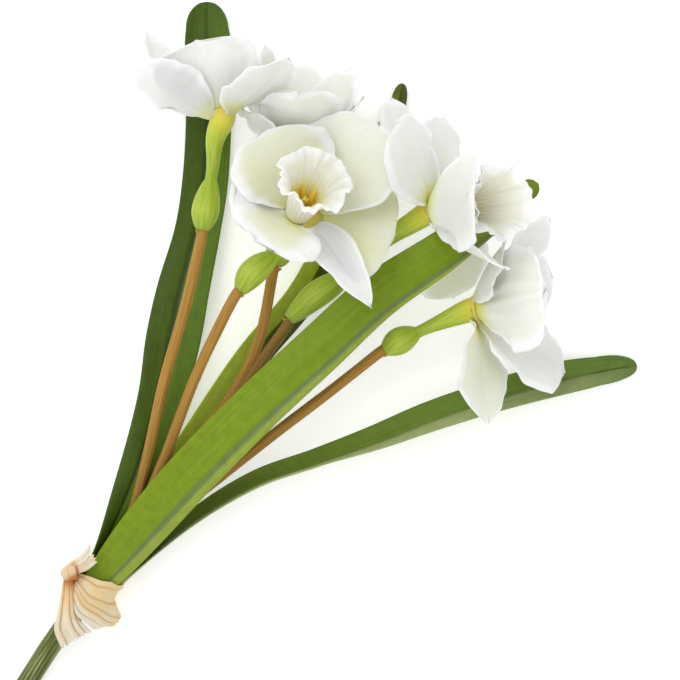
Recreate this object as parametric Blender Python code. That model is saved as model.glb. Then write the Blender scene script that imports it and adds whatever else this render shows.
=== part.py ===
"""A raffia-tied bunch of five white daffodils and four strap leaves, lying on its side.

The bunch lies along +X, from the cut stem to the flowers, on the plane z = 0.
All the sizes below are millimetres and degrees; the meshes are made in metres.
"""

from collections import namedtuple
from math import cos, pi, radians, sin

import bmesh
import bpy
from mathutils import Vector

MM = 0.001

# The bunch is drawn with the middle of its tie over x = 0, y = 0. This carries it to its box's centre.
ORIGIN_SHIFT = Vector((-89.9, -7.2, -0.2))

# Flower parts
TEPAL_THICK = 0.6
TEPAL_ROOT_RADIUS = 5.4
LAYER_STEP = 1.1
CLAW_ANGLE = 55.0
CLAW_SHARE = 0.16
TIP_HALF_WIDTH = 0.5
MOST_WRAP = 1.2
CORONA_WALL = 0.6
CORONA_ROOT_RADIUS = 4.8
CORONA_MOUTH_RADIUS = 13.2
CORONA_ROOT_HEIGHT = 1.1
CORONA_LOBES = 7
CORONA_RUFFLE = 1.2
TUBE_END_BELOW = 2.4
TUBE_END_RADIUS = 4.7
TUBE_NECK_RADIUS = 2.3
OVARY_SWELL = 3.2
OVARY_SHARE = 0.42
STAMEN_COUNT = 6

# The steps in which a filament and the style rise: their radius, height and narrowing.
FILAMENT_STEPS = ((2.3, 2.2, 0.8), (3.0, 5.4, 0.8), (3.5, 9.0, 0.5))
STYLE_STEPS = ((5.4, 0.6), (11.5, 0.9))

# Stalks and leaves
PEDICEL_RADIUS = 2.2
COLLAR_RADIUS = 2.9
SCAPE_RADIUS = 4.2
LEAF_THICK = 0.8
RAFFIA_THICK = 0.6

# The raffia's band stands round the bunch's middle; its knot sits beside the band.
BAND_REACH = 10.5
BAND_HALF_HEIGHT = 11.0
BAND_MIDDLE_HEIGHT = 11.3
KNOT_MIDDLE = Vector((-1.5, 12.8, 18.2))
KNOT_RADII = (3.0, 2.6, 2.8)
TAIL_ROOT = Vector((-4.2, 9.4, 18.8))

# Mesh fineness
TEPAL_ROWS = 7
TEPAL_COLUMNS = 4
CORONA_SIDES = 21
CORONA_ROWS = 4
STALK_SIDES = 8

# A tepal's turn round the flower's axis, its layer (0 is the innermost), its opening from the axis,
# the further bend towards its tip (minus bends forward), its cupping beyond the flower's own
# roundness, its twist, its length and its width.
Tepal = namedtuple("Tepal", "roll layer opening bend cup twist length width")

# A flower's throat, the heading and pitch of its axis, the depth of its corona, the routes of its
# pedicel and tube, and its tepals.
Flower = namedtuple("Flower", "throat heading pitch corona pedicel tube tepals")

# A point on a leaf's midrib: its place, half its width there, and the turn of its face.
Rib = namedtuple("Rib", "x y z half turn")

# The scape's route ends at the umbel, where the five pedicels part.
SCAPE_ROUTE = ((-60, -8, 4.5), (-30, -4, 8), (0, 0, 10.5), (28, 0, 13))

FLOWERS = {
    "left": Flower(
        (181.7, 81.5, 44.0), 55.0, -14.0, 20.0,
        ((29, 5, 13.5), (52, 15, 18), (84, 31, 27), (116, 45, 34), (138, 56, 38)),
        ((141, 58, 38), (150, 63, 39), (162.5, 70.5, 40), (172, 77, 42)),
        (
            Tepal(94, 0, 48, -5, 6, 0, 31, 33), Tepal(152, 1, 56, -10, 0, 0, 34, 30),
            Tepal(202, 0, 46, -36, 6, 0, 50, 32), Tepal(248, 1, 58, -10, 0, 0, 38, 30),
            Tepal(300, 0, 44, -20, 6, 0, 36, 26), Tepal(55, 2, 92, 0, 0, 0, 32, 26),
        ),
    ),
    "front": Flower(
        (171.6, 30.1, 56.0), 40.0, 60.0, 26.0,
        ((29, 2.6, 18), (56, 10, 21), (92, 22, 32), (115, 28, 38), (129, 31, 41)),
        ((132, 31, 41), (141, 31.5, 41.5), (151, 29.5, 42.5), (160, 27, 44), (167, 26.5, 47.5)),
        (
            Tepal(240, 0, 52, 5, 6, 0, 35, 38), Tepal(314, 1, 63, 0, 0, 0, 41, 38),
            Tepal(15, 2, 92, 0, 0, 0, 31, 38), Tepal(58, 1, 94, 0, 60, 0, 44, 17),
            Tepal(130, 0, 44, 12, 6, 0, 28, 36), Tepal(206, 1, 58, 4, 0, 0, 29, 34),
        ),
    ),
    "back": Flower(
        (192.5, 48.0, 29.0), 43.0, 12.0, 17.0,
        ((29, 0, 11.5), (70, 6, 18), (96, 7, 21), (122, 13, 24), (146, 26, 26)),
        ((149, 27, 26), (156, 30, 26), (168, 36, 26), (181, 43.5, 27)),
        (
            Tepal(92, 0, 46, -14, 6, 0, 32, 34), Tepal(150, 1, 64, -24, 0, 0, 30, 26),
            Tepal(203, 0, 36, -34, 6, 0, 45, 24), Tepal(260, 1, 50, -12, 0, 0, 43, 36),
            Tepal(320, 0, 42, -12, 6, 0, 36, 30), Tepal(6, 1, 54, -18, 0, 0, 29, 28),
        ),
    ),
    "middle": Flower(
        (206.5, -8.0, 46.0), -46.0, 38.0, 34.0,
        ((29, -2.6, 18), (56, 2, 22), (78, 4, 23), (101, 5, 26), (121, 7, 29), (133, 8, 31)),
        ((136, 9, 31), (149, 7, 32), (160, 4, 34), (173, 2, 36), (186, -0.5, 39), (197, -4, 41.5)),
        (
            Tepal(103, 0, 25, 0, 0, 0, 42, 40), Tepal(144, 1, 88, 0, 0, 0, 37, 31),
            Tepal(186, 3, 118, 0, 0, 0, 47, 28), Tepal(206, 2, 98, 0, 0, 0, 37, 26),
            Tepal(319, 2, 110, 0, 0, -45, 43, 34), Tepal(22, 1, 31, -5, 0, 0, 46, 18),
        ),
    ),
    "right": Flower(
        (188.0, -46.0, 35.0), -43.0, 14.0, 24.0,
        ((29, -5, 13.5), (52, -7, 16), (97, -16, 24), (124, -22, 28), (148, -27, 31)),
        ((151, -28, 31), (159, -31, 32), (168, -35, 33), (178, -40, 34)),
        (
            Tepal(98, 0, 36, -8, 0, 0, 38, 40), Tepal(152, 1, 58, -10, 0, 0, 29, 32),
            Tepal(206, 0, 46, -5, 0, 0, 43, 28), Tepal(255, 1, 54, -5, 0, 0, 42, 30),
            Tepal(318, 2, 58, -10, 0, 0, 46, 35), Tepal(2, 3, 90, 0, 0, -40, 41, 28),
        ),
    ),
}

LEAVES = {
    "left": (
        Rib(-4, 6.6, 10, 3.2, 85), Rib(16, 7.5, 11, 5.5, 55), Rib(47, 15, 13, 8.6, 5),
        Rib(77, 28, 11, 9.6, 0), Rib(99, 40, 9, 11.2, 0), Rib(117, 50, 7, 10.8, 0),
        Rib(139, 61, 4.5, 9.4, 0), Rib(157, 72, 3, 9.4, 0), Rib(177, 87, 2, 9.4, 0),
        Rib(196, 103, 1.4, 8.8, 0), Rib(207, 113, 1.0, 6.8, 0), Rib(213, 118, 0.9, 1.8, 0),
    ),
    "front": (
        Rib(-4, 0, 17.5, 4.5, 0), Rib(16, 0, 20, 8.0, 0), Rib(38, 0, 25, 9.6, 0),
        Rib(68, -1, 33, 10.2, 0), Rib(103, -4, 40, 10.2, 0), Rib(135, -8, 45, 10.0, 0),
        Rib(165, -12, 46.5, 9.6, 4), Rib(193, -20, 47, 8.6, 8), Rib(207, -23.5, 43.5, 7.6, 8),
        Rib(222, -27, 33, 6.4, 0), Rib(232, -29.5, 29.5, 4.4, 0), Rib(239, -31, 27, 1.2, 0),
    ),
    "right": (
        Rib(-4, -6.6, 10, 3.2, -85), Rib(16, -8, 11, 4.6, -65), Rib(48, -14, 13, 6.0, -62),
        Rib(76, -24, 15, 7.0, -60), Rib(98, -37, 16, 7.6, -58), Rib(120, -50, 15, 8.2, -52),
        Rib(142, -62, 13, 8.8, -46), Rib(163, -75, 10, 9.0, -38), Rib(187, -91, 6, 8.4, -25),
        Rib(204, -104, 2.8, 5.6, -10), Rib(213, -112, 1.2, 1.4, 0),
    ),
    "inner": (
        Rib(-4, -1, 3.2, 3.2, 0), Rib(18, -1, 4, 4.2, 0), Rib(52, 5, 5, 6.4, 0),
        Rib(86, 9, 8, 7.8, 10), Rib(116, 12, 10, 8.2, 15), Rib(148, 12, 9, 8.0, 10),
        Rib(178, 18, 6, 7.6, 0), Rib(205, 24, 3.2, 6.8, 0), Rib(227, 30, 1.4, 5.2, 0),
        Rib(240, 36, 0.9, 1.0, 0),
    ),
}

# How far each leaf's halves are folded up about its midrib; minus folds them down.
LEAF_FOLD = {"left": 8.0, "front": -10.0, "right": 24.0, "inner": 35.0}

COLOURS = {
    "tepal": (0.80, 0.82, 0.78),
    "corona": (0.84, 0.82, 0.66),
    "stamens": (0.83, 0.45, 0.03),
    "tube": (0.38, 0.55, 0.05),
    "pedicel": (0.42, 0.22, 0.07),
    "leaf": (0.12, 0.24, 0.03),
    "scape": (0.10, 0.16, 0.04),
    "raffia": (0.72, 0.50, 0.27),
}


def clear_scene():
    """Remove whatever the open file holds."""
    for obj in list(bpy.data.objects):
        bpy.data.objects.remove(obj, do_unlink=True)


def material(name):
    """The matte material of one kind of piece."""
    found = bpy.data.materials.get(name)
    if found:
        return found
    made = bpy.data.materials.new(name)
    made.use_nodes = True
    shader = made.node_tree.nodes["Principled BSDF"]
    shader.inputs["Base Color"].default_value = (*COLOURS[name], 1.0)
    shader.inputs["Roughness"].default_value = 0.6
    shader.inputs["Metallic"].default_value = 0.0
    return made


def add_mesh(name, kind, points, faces):
    """Make one object of points in millimetres and faces, shaded smooth."""
    mesh = bpy.data.meshes.new(name)
    mesh.from_pydata([(point + ORIGIN_SHIFT) * MM for point in points], [], faces)
    tidy = bmesh.new()
    tidy.from_mesh(mesh)
    bmesh.ops.recalc_face_normals(tidy, faces=tidy.faces)
    bmesh.ops.triangulate(tidy, faces=tidy.faces)
    tidy.to_mesh(mesh)
    tidy.free()
    mesh.shade_smooth()
    mesh.set_sharp_from_angle(angle=radians(50))
    mesh.materials.append(material(kind))
    obj = bpy.data.objects.new(name, mesh)
    bpy.context.collection.objects.link(obj)
    return obj


def smooth_route(stations, steps):
    """Points on a Catmull-Rom curve through the stations, with the same number of steps in each."""
    stations = [Vector(station) for station in stations]
    padded = [stations[0] * 2 - stations[1], *stations, stations[-1] * 2 - stations[-2]]
    route = []
    for index in range(len(stations) - 1):
        before, start, end, after = padded[index:index + 4]
        for step in range(steps):
            t = step / steps
            pull = (end - before) * t + (before * 2 - start * 5 + end * 4 - after) * t * t
            route.append(start + (pull + (start * 3 - before - end * 3 + after) * t ** 3) / 2)
    route.append(stations[-1])
    return route


def ease(t):
    """Rise smoothly from 0 to 1."""
    t = min(max(t, 0.0), 1.0)
    return t * t * (3 - 2 * t)


def grid_normals(rows, closed):
    """The unit normals of a grid of points, closed across the rows or not."""
    height = len(rows)
    width = len(rows[0])
    normals = []
    for i in range(height):
        along = [rows[min(i + 1, height - 1)][j] - rows[max(i - 1, 0)][j] for j in range(width)]
        line = []
        for j in range(width):
            if closed:
                across = rows[i][(j + 1) % width] - rows[i][j - 1]
            else:
                across = rows[i][min(j + 1, width - 1)] - rows[i][max(j - 1, 0)]
            line.append(along[j].cross(across).normalized())
        normals.append(line)
    return normals


def add_sheet(name, kind, rows, thick, closed=False):
    """Thicken a grid of points into one closed solid; a grid closed across its rows makes a sleeve."""
    height = len(rows)
    width = len(rows[0])
    normals = grid_normals(rows, closed)
    half = thick / 2
    points = [rows[i][j] + normals[i][j] * half for i in range(height) for j in range(width)]
    points += [rows[i][j] - normals[i][j] * half for i in range(height) for j in range(width)]
    below = height * width
    columns = width if closed else width - 1
    faces = []
    for i in range(height - 1):
        for j in range(columns):
            k = (j + 1) % width
            a, b, c, d = i * width + j, i * width + k, (i + 1) * width + k, (i + 1) * width + j
            faces.append((a, b, c, d))
            faces.append((a + below, d + below, c + below, b + below))
    for i in (0, height - 1):
        for j in range(columns):
            a, b = i * width + j, i * width + (j + 1) % width
            faces.append((a, a + below, b + below, b))
    if not closed:
        for j in (0, width - 1):
            for i in range(height - 1):
                a, b = i * width + j, (i + 1) * width + j
                faces.append((a, b, b + below, a + below))
    return add_mesh(name, kind, points, faces)


def add_stalk(name, kind, route, radii, sides=STALK_SIDES, end_normal=None):
    """Sweep a circle of changing radius along a route, with flat ends."""
    points = []
    side = Vector((0.0, 0.0, 1.0)).cross(route[1] - route[0]).normalized()
    last = len(route) - 1
    for i, (centre, radius) in enumerate(zip(route, radii)):
        tangent = (route[min(i + 1, last)] - route[max(i - 1, 0)]).normalized()
        if end_normal is not None and i == last:
            tangent = end_normal
        side = (side - tangent * side.dot(tangent)).normalized()
        other = tangent.cross(side)
        for k in range(sides):
            turn = 2 * pi * k / sides
            points.append(centre + (side * cos(turn) + other * sin(turn)) * radius)
    faces = [tuple(range(sides - 1, -1, -1)), tuple(last * sides + k for k in range(sides))]
    for i in range(last):
        for k in range(sides):
            a, b = i * sides + k, i * sides + (k + 1) % sides
            faces.append((a, b, b + sides, a + sides))
    return add_mesh(name, kind, points, faces)


class Frame:
    """A flower's own frame: its throat, its axis, and two directions across the axis."""

    def __init__(self, flower):
        heading = radians(flower.heading)
        pitch = radians(flower.pitch)
        self.throat = Vector(flower.throat)
        self.axis = Vector((cos(heading) * cos(pitch), sin(heading) * cos(pitch), sin(pitch)))
        self.right = self.axis.cross(Vector((0.0, 0.0, 1.0))).normalized()
        self.up = self.right.cross(self.axis)

    def outward(self, turn):
        """The direction away from the axis at a turn in degrees."""
        return self.right * cos(radians(turn)) + self.up * sin(radians(turn))

    def at(self, turn, radius, height):
        """A point at a turn round the axis, a radius from it and a height above the throat."""
        return self.throat + self.outward(turn) * radius + self.axis * height


def tepal_outline(share):
    """Half the width of a tepal along its length, as a share of its widest."""
    return (0.03 + share) ** 0.78 * (1.0 - share * 0.985) ** 0.66 / 0.391


def tepal_rows(frame, tepal, rows, columns):
    """The middle surface of a tepal, from its claw to its tip."""
    outward = frame.outward(tepal.roll)
    tangent = frame.outward(tepal.roll + 90)
    point = frame.throat + outward * TEPAL_ROOT_RADIUS - frame.axis * LAYER_STEP * tepal.layer
    radius = TEPAL_ROOT_RADIUS
    fine = 4
    step = tepal.length / (rows * fine)
    grid = []
    for i in range(rows * fine + 1):
        share = i / (rows * fine)
        claw = ease(share / CLAW_SHARE)
        angle = radians(CLAW_ANGLE + (tepal.opening - CLAW_ANGLE) * claw + tepal.bend * ease(share) * 1.5)
        along = frame.axis * cos(angle) + outward * sin(angle)
        if i % fine == 0:
            twist = radians(tepal.twist) * ease(share)
            inner = frame.axis * sin(angle) - outward * cos(angle)
            across = tangent * cos(twist) + inner * sin(twist)
            lift = inner * cos(twist) - tangent * sin(twist)
            half = max(tepal.width / 2 * tepal_outline(share), TIP_HALF_WIDTH)
            wrap = half * max(cos(angle), 0.0) / radius
            cup = max(min(wrap, MOST_WRAP) + radians(tepal.cup) * ease(share * 2), 0.02)
            line = []
            for j in range(columns + 1):
                v = 2 * j / columns - 1
                line.append(point + (across * sin(cup * v) + lift * (1 - cos(cup * v))) * half / cup)
            grid.append(line)
        point = point + along * step
        radius += sin(angle) * step
    return grid


def corona_rows(frame, depth, rows, sides):
    """The middle surface of the trumpet, from its root to its ruffled mouth."""
    grid = []
    for i in range(rows + 1):
        share = i / rows
        flare = 0.45 * share + 0.55 * share ** 3
        radius = CORONA_ROOT_RADIUS + (CORONA_MOUTH_RADIUS - CORONA_ROOT_RADIUS) * flare
        height = CORONA_ROOT_HEIGHT + depth * share ** 0.9
        line = []
        for k in range(sides):
            turn = 360 * k / sides
            ruffle = CORONA_RUFFLE * cos(radians(turn * CORONA_LOBES)) * share ** 3
            line.append(frame.at(turn, radius + ruffle, height - ruffle))
        grid.append(line)
    return grid


def add_stamens(name, frame):
    """Six filaments with swollen anthers round a taller style, on one disc."""
    rings = [(1.1, -0.4), (1.3, 1.0)]
    points = []
    for radius, height in rings:
        for k in range(STAMEN_COUNT):
            points.append(frame.at(360 * k / STAMEN_COUNT, radius, height))
    base = bmesh.new()
    verts = [base.verts.new(point) for point in points]
    count = STAMEN_COUNT
    base.faces.new(verts[count - 1::-1])
    top = base.faces.new(verts[count:])
    for k in range(count):
        after = (k + 1) % count
        side = base.faces.new((verts[k], verts[after], verts[count + after], verts[count + k]))
        turn = 360 * (k + 0.5) / count
        for radius, height, size in FILAMENT_STEPS:
            side = grow_face(base, side, frame.at(turn, radius, height), size)
    for height, size in STYLE_STEPS:
        top = grow_face(base, top, frame.at(0, 0, height), size)
    base.verts.index_update()
    faces = [tuple(vert.index for vert in face.verts) for face in base.faces]
    add_mesh(name, "stamens", [vert.co.copy() for vert in base.verts], faces)
    base.free()


def grow_face(base, face, centre, size):
    """Extrude a face to a new centre and scale it there."""
    grown = bmesh.ops.extrude_discrete_faces(base, faces=[face])["faces"][0]
    middle = grown.calc_center_median()
    for vert in grown.verts:
        vert.co = centre + (vert.co - middle) * size
    return grown


def add_flower(label, flower):
    """One flower with its stalk."""
    frame = Frame(flower)
    for number, tepal in enumerate(flower.tepals, start=1):
        rows = tepal_rows(frame, tepal, TEPAL_ROWS, TEPAL_COLUMNS)
        add_sheet(f"{label}_flower_tepal_{number}", "tepal", rows, TEPAL_THICK)
    corona = corona_rows(frame, flower.corona, CORONA_ROWS, CORONA_SIDES)
    add_sheet(f"{label}_flower_corona", "corona", corona, CORONA_WALL, closed=True)
    add_stamens(f"{label}_flower_stamens", frame)

    route = smooth_route([*flower.tube, frame.throat - frame.axis * TUBE_END_BELOW], 2)
    last = len(route) - 1
    radii = []
    for i in range(last + 1):
        share = i / last
        swell = OVARY_SWELL * max(sin(pi * min(share / OVARY_SHARE, 1.0)), 0.0) ** 0.8
        widening = (TUBE_END_RADIUS - TUBE_NECK_RADIUS) * ease((share - OVARY_SHARE) / (1 - OVARY_SHARE))
        radii.append(TUBE_NECK_RADIUS + swell + widening)
    add_stalk(f"{label}_flower_tube", "tube", route, radii, end_normal=frame.axis)

    route = smooth_route(flower.pedicel, 3)
    radii = [PEDICEL_RADIUS] * len(route)
    radii[-1] = COLLAR_RADIUS
    radii[-2] = COLLAR_RADIUS * 0.9
    add_stalk(f"{label}_flower_pedicel", "pedicel", route, radii)


def leaf_rows(ribs, fold, steps, columns):
    """The middle surface of a strap leaf, folded along its midrib."""
    route = smooth_route([(rib.x, rib.y, rib.z) for rib in ribs], steps)
    shape = smooth_route([(rib.half, rib.turn, 0) for rib in ribs], steps)
    last = len(route) - 1
    grid = []
    for i, (centre, (half, turn, _)) in enumerate(zip(route, shape)):
        tangent = (route[min(i + 1, last)] - route[max(i - 1, 0)]).normalized()
        level = Vector((0.0, 0.0, 1.0)).cross(tangent).normalized()
        face = tangent.cross(level)
        across = level * cos(radians(turn)) + face * sin(radians(turn))
        lift = face * cos(radians(turn)) - level * sin(radians(turn))
        line = []
        for j in range(columns + 1):
            v = 2 * j / columns - 1
            folded = across * v * cos(radians(fold)) + lift * abs(v) * sin(radians(fold))
            line.append(centre + folded * half)
        grid.append(line)
    return grid


def add_leaves():
    """The four strap leaves."""
    for label, ribs in LEAVES.items():
        add_sheet(f"{label}_leaf", "leaf", leaf_rows(ribs, LEAF_FOLD[label], 2, 2), LEAF_THICK)


def add_scape():
    """The main stem, from its cut end through the tie to where the flower stalks part."""
    route = smooth_route(SCAPE_ROUTE, 2)
    add_stalk("scape", "scape", route, [SCAPE_RADIUS] * len(route), sides=10)


def raffia_band_rows(rows, sides):
    """The wrapped band, gathered at the knot's side and spread on the other."""
    grid = []
    for i in range(rows + 1):
        share = i / rows
        line = []
        for k in range(sides):
            turn = 2 * pi * k / sides
            away = (1 - cos(turn)) / 2
            front = 1.0 + 9.0 * away
            back = -3.0 - 8.0 * away
            reach = BAND_REACH + (4.0 * sin(pi * share) + 2.0 * share) * away
            height = BAND_MIDDLE_HEIGHT + BAND_HALF_HEIGHT * sin(turn)
            line.append(Vector((front + (back - front) * share, reach * cos(turn), height)))
        grid.append(line)
    return grid


def raffia_tail_rows(rows, columns):
    """The loose tail, a pleated fan that spreads from the knot over the stem."""
    grid = []
    for i in range(rows + 1):
        share = i / rows
        line = []
        for j in range(columns + 1):
            v = j / columns
            turn = radians(-119 - 42 * v)
            reach = 3.0 + (19.0 + 6.5 * sin(pi * v * 0.75) ** 2) * share
            droop = 3.0 * share ** 2 * (2 * v - 0.9) ** 2
            drop = 2.6 * share + droop - 0.4 * cos(6 * pi * v) * share
            line.append(TAIL_ROOT + Vector((reach * cos(turn), reach * sin(turn), -drop)))
        grid.append(line)
    return grid


def raffia_stub_rows(root, tip, root_half, tip_half, rows, columns):
    """One of the short flared ends above the knot."""
    root = Vector(root)
    tip = Vector(tip)
    across = Vector((0.0, 0.0, 1.0)).cross(tip - root).normalized()
    grid = []
    for i in range(rows + 1):
        share = i / rows
        half = root_half + (tip_half - root_half) * share
        centre = root.lerp(tip, share)
        line = []
        for j in range(columns + 1):
            v = 2 * j / columns - 1
            line.append(centre + across * half * v + Vector((0.0, 0.0, 0.8 * (1 - v * v) * share)))
        grid.append(line)
    return grid


def add_raffia_knot():
    """The knot, a squashed ball beside the band."""
    ball = bmesh.new()
    bmesh.ops.create_icosphere(ball, subdivisions=2, radius=1.0)
    for vert in ball.verts:
        vert.co = KNOT_MIDDLE + vert.co * Vector(KNOT_RADII)
    ball.verts.index_update()
    faces = [tuple(vert.index for vert in face.verts) for face in ball.faces]
    add_mesh("raffia_knot", "raffia", [vert.co.copy() for vert in ball.verts], faces)
    ball.free()


def add_raffia():
    """The raffia that ties the bunch: its band, its tail, its knot and two stubs."""
    add_sheet("raffia_band", "raffia", raffia_band_rows(4, 18), RAFFIA_THICK, closed=True)
    add_sheet("raffia_tail", "raffia", raffia_tail_rows(4, 6), RAFFIA_THICK)
    add_raffia_knot()
    for name, root, tip, tip_half in (
        ("raffia_stub_long", (2.2, 13.6, 19.2), (14.0, 13.0, 22.5), 3.4),
        ("raffia_stub_short", (2.0, 10.6, 22.0), (11.5, 6.4, 25.0), 2.6),
    ):
        add_sheet(name, "raffia", raffia_stub_rows(root, tip, 1.4, tip_half, 3, 2), RAFFIA_THICK)


def build():
    """Make the whole bunch."""
    clear_scene()
    for label, flower in FLOWERS.items():
        add_flower(label, flower)
    add_leaves()
    add_scape()
    add_raffia()


build()
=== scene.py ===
"""The looks of a raffia-tied bunch of white daffodils that lies on its side, laid out as an add-on.

The bunch lies along +X, from the cut stem to the flowers, on the plane z = 0. The tables and formulas
are in millimetres and degrees, as the solid model's are; a finished mesh is in metres.
"""

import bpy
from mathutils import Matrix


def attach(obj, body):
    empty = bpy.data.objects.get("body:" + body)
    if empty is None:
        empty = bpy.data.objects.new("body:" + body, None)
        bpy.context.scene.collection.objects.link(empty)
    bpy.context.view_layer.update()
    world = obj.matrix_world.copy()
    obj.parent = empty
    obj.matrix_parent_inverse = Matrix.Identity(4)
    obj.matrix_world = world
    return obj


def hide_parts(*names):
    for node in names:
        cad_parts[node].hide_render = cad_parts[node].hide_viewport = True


bl_info = {
    "name": "Daffodil Bunch",
    "version": (1, 0, 0),
    "blender": (4, 5, 0),
    "location": "3D View > Sidebar > Daffodils",
    "description": "Builds the petals, trumpets, stalks, leaves and raffia tie of a bunch of daffodils",
    "category": "Add Mesh",
}

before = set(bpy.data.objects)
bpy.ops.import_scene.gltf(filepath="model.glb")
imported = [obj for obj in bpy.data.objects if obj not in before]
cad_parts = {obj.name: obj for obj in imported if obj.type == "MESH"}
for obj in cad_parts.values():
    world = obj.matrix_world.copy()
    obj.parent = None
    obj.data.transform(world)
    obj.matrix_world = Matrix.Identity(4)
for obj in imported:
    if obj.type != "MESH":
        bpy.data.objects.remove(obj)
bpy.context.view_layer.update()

from collections import namedtuple
from copy import copy
from math import cos, pi, radians, sin

import bpy
import numpy as np
from bpy.props import FloatProperty, FloatVectorProperty, PointerProperty
from bpy.types import Operator, Panel, PropertyGroup
from mathutils import Vector

MM = 0.001
UP = np.array((0.0, 0.0, 1.0))

# The tables are drawn with the middle of the tie over x = 0, y = 0; this carries them to the box's centre.
ORIGIN_SHIFT = np.array((-89.9, -7.2, -0.2))

# Sizes that the solid model shares, except for how far a petal may wrap round its flower's axis and
# for the knot, which are set anew here.
TEPAL_ROOT_RADIUS = 5.4
LAYER_STEP = 1.1
CLAW_ANGLE = 55.0
CLAW_SHARE = 0.16
MOST_WRAP = 1.0
CORONA_ROOT_RADIUS = 4.8
CORONA_MOUTH_RADIUS = 13.2
CORONA_ROOT_HEIGHT = 1.1
CORONA_LOBES = 7
CORONA_RUFFLE = 1.2
TUBE_END_BELOW = 2.4
TUBE_END_RADIUS = 4.7
TUBE_NECK_RADIUS = 2.3
OVARY_SWELL = 3.2
OVARY_SHARE = 0.42
STAMEN_COUNT = 6
PEDICEL_RADIUS = 2.2
COLLAR_RADIUS = 2.9
SCAPE_RADIUS = 4.2
BAND_REACH = 10.5
BAND_MIDDLE_HEIGHT = 11.3
KNOT_CORE = (0.0, 11.2, 18.6)
KNOT_RADII = (3.0, 3.2, 2.8)

# A tepal's turn round the flower's axis, its layer (0 is the innermost), its opening from the axis,
# the further bend towards its tip (minus bends forward), its cupping beyond the flower's own
# roundness, its twist, its length and its width.
Tepal = namedtuple("Tepal", "roll layer opening bend cup twist length width")

# A flower's throat, the heading and pitch of its axis, the depth of its corona, the routes of its
# pedicel and tube, and its tepals.
Flower = namedtuple("Flower", "throat heading pitch corona pedicel tube tepals")

# A point on a leaf's midrib: its place, half its width there, and the turn of its face.
Rib = namedtuple("Rib", "x y z half turn")

# The scape's route ends at the umbel, where the five pedicels part.
SCAPE_ROUTE = ((-60, -8, 4.5), (-30, -4, 8), (0, 0, 10.5), (28, 0, 13))

FLOWERS = {
    "left": Flower(
        (181.7, 81.5, 44.0), 55.0, -14.0, 20.0,
        ((29, 5, 13.5), (52, 15, 18), (84, 31, 27), (116, 45, 34), (138, 56, 38)),
        ((141, 58, 38), (150, 63, 39), (162.5, 70.5, 40), (172, 77, 42)),
        (
            Tepal(94, 0, 48, -5, 6, 0, 31, 33), Tepal(152, 1, 56, -10, 0, 0, 34, 30),
            Tepal(202, 0, 46, -36, 6, 0, 50, 32), Tepal(246, 1, 54, -16, 0, 0, 42, 34),
            Tepal(300, 0, 44, -20, 6, 0, 36, 26), Tepal(40, 2, 84, -6, 0, 0, 36, 28),
        ),
    ),
    "front": Flower(
        (171.6, 30.1, 56.0), 40.0, 60.0, 26.0,
        ((29, 2.6, 18), (56, 10, 21), (92, 22, 32), (115, 28, 38), (129, 31, 41)),
        ((132, 31, 41), (141, 31.5, 41.5), (151, 29.5, 42.5), (160, 27, 44), (167, 26.5, 47.5)),
        (
            Tepal(240, 0, 50, 5, 6, 0, 32, 38), Tepal(314, 1, 63, 0, 0, 0, 41, 38),
            Tepal(15, 2, 92, 0, 0, 0, 31, 38), Tepal(58, 1, 94, 0, 60, 0, 44, 17),
            Tepal(134, 0, 52, 10, 6, 0, 25, 36), Tepal(200, 2, 66, 2, 0, 0, 25, 34),
        ),
    ),
    "back": Flower(
        (192.5, 48.0, 29.0), 43.0, 12.0, 17.0,
        ((29, 0, 11.5), (70, 6, 18), (96, 7, 21), (122, 13, 24), (146, 26, 26)),
        ((149, 27, 26), (156, 30, 26), (168, 36, 26), (181, 43.5, 27)),
        (
            Tepal(92, 0, 46, -14, 6, 0, 32, 34), Tepal(150, 1, 64, -24, 0, 0, 30, 26),
            Tepal(203, 0, 36, -34, 6, 0, 45, 24), Tepal(260, 1, 50, -12, 0, 0, 43, 36),
            Tepal(320, 0, 42, -12, 6, 0, 36, 30), Tepal(6, 1, 54, -18, 0, 0, 29, 28),
        ),
    ),
    "middle": Flower(
        (206.5, -8.0, 46.0), -46.0, 38.0, 34.0,
        ((29, -2.6, 18), (56, 2, 22), (78, 4, 23), (101, 5, 26), (121, 7, 29), (133, 8, 31)),
        ((136, 9, 31), (149, 7, 32), (160, 4, 34), (173, 2, 36), (186, -0.5, 39), (197, -4, 41.5)),
        (
            Tepal(103, 0, 25, 0, 0, 0, 42, 40), Tepal(144, 1, 88, 0, 0, 0, 37, 31),
            Tepal(186, 3, 118, 0, 0, 0, 47, 28), Tepal(206, 2, 98, 0, 0, 0, 37, 26),
            Tepal(319, 2, 110, 0, 0, -45, 43, 34), Tepal(22, 1, 31, -5, 0, 0, 46, 18),
        ),
    ),
    "right": Flower(
        (188.0, -46.0, 35.0), -43.0, 14.0, 24.0,
        ((29, -5, 13.5), (52, -7, 16), (97, -16, 24), (124, -22, 28), (148, -27, 31)),
        ((151, -28, 31), (159, -31, 32), (168, -35, 33), (178, -40, 34)),
        (
            Tepal(98, 0, 36, -8, 0, 0, 38, 40), Tepal(152, 1, 58, -10, 0, 0, 29, 32),
            Tepal(206, 0, 46, -5, 0, 0, 43, 28), Tepal(255, 1, 54, -5, 0, 0, 42, 30),
            Tepal(318, 2, 58, -10, 0, 0, 46, 35), Tepal(2, 3, 90, 0, 0, -40, 41, 28),
        ),
    ),
}

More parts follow.
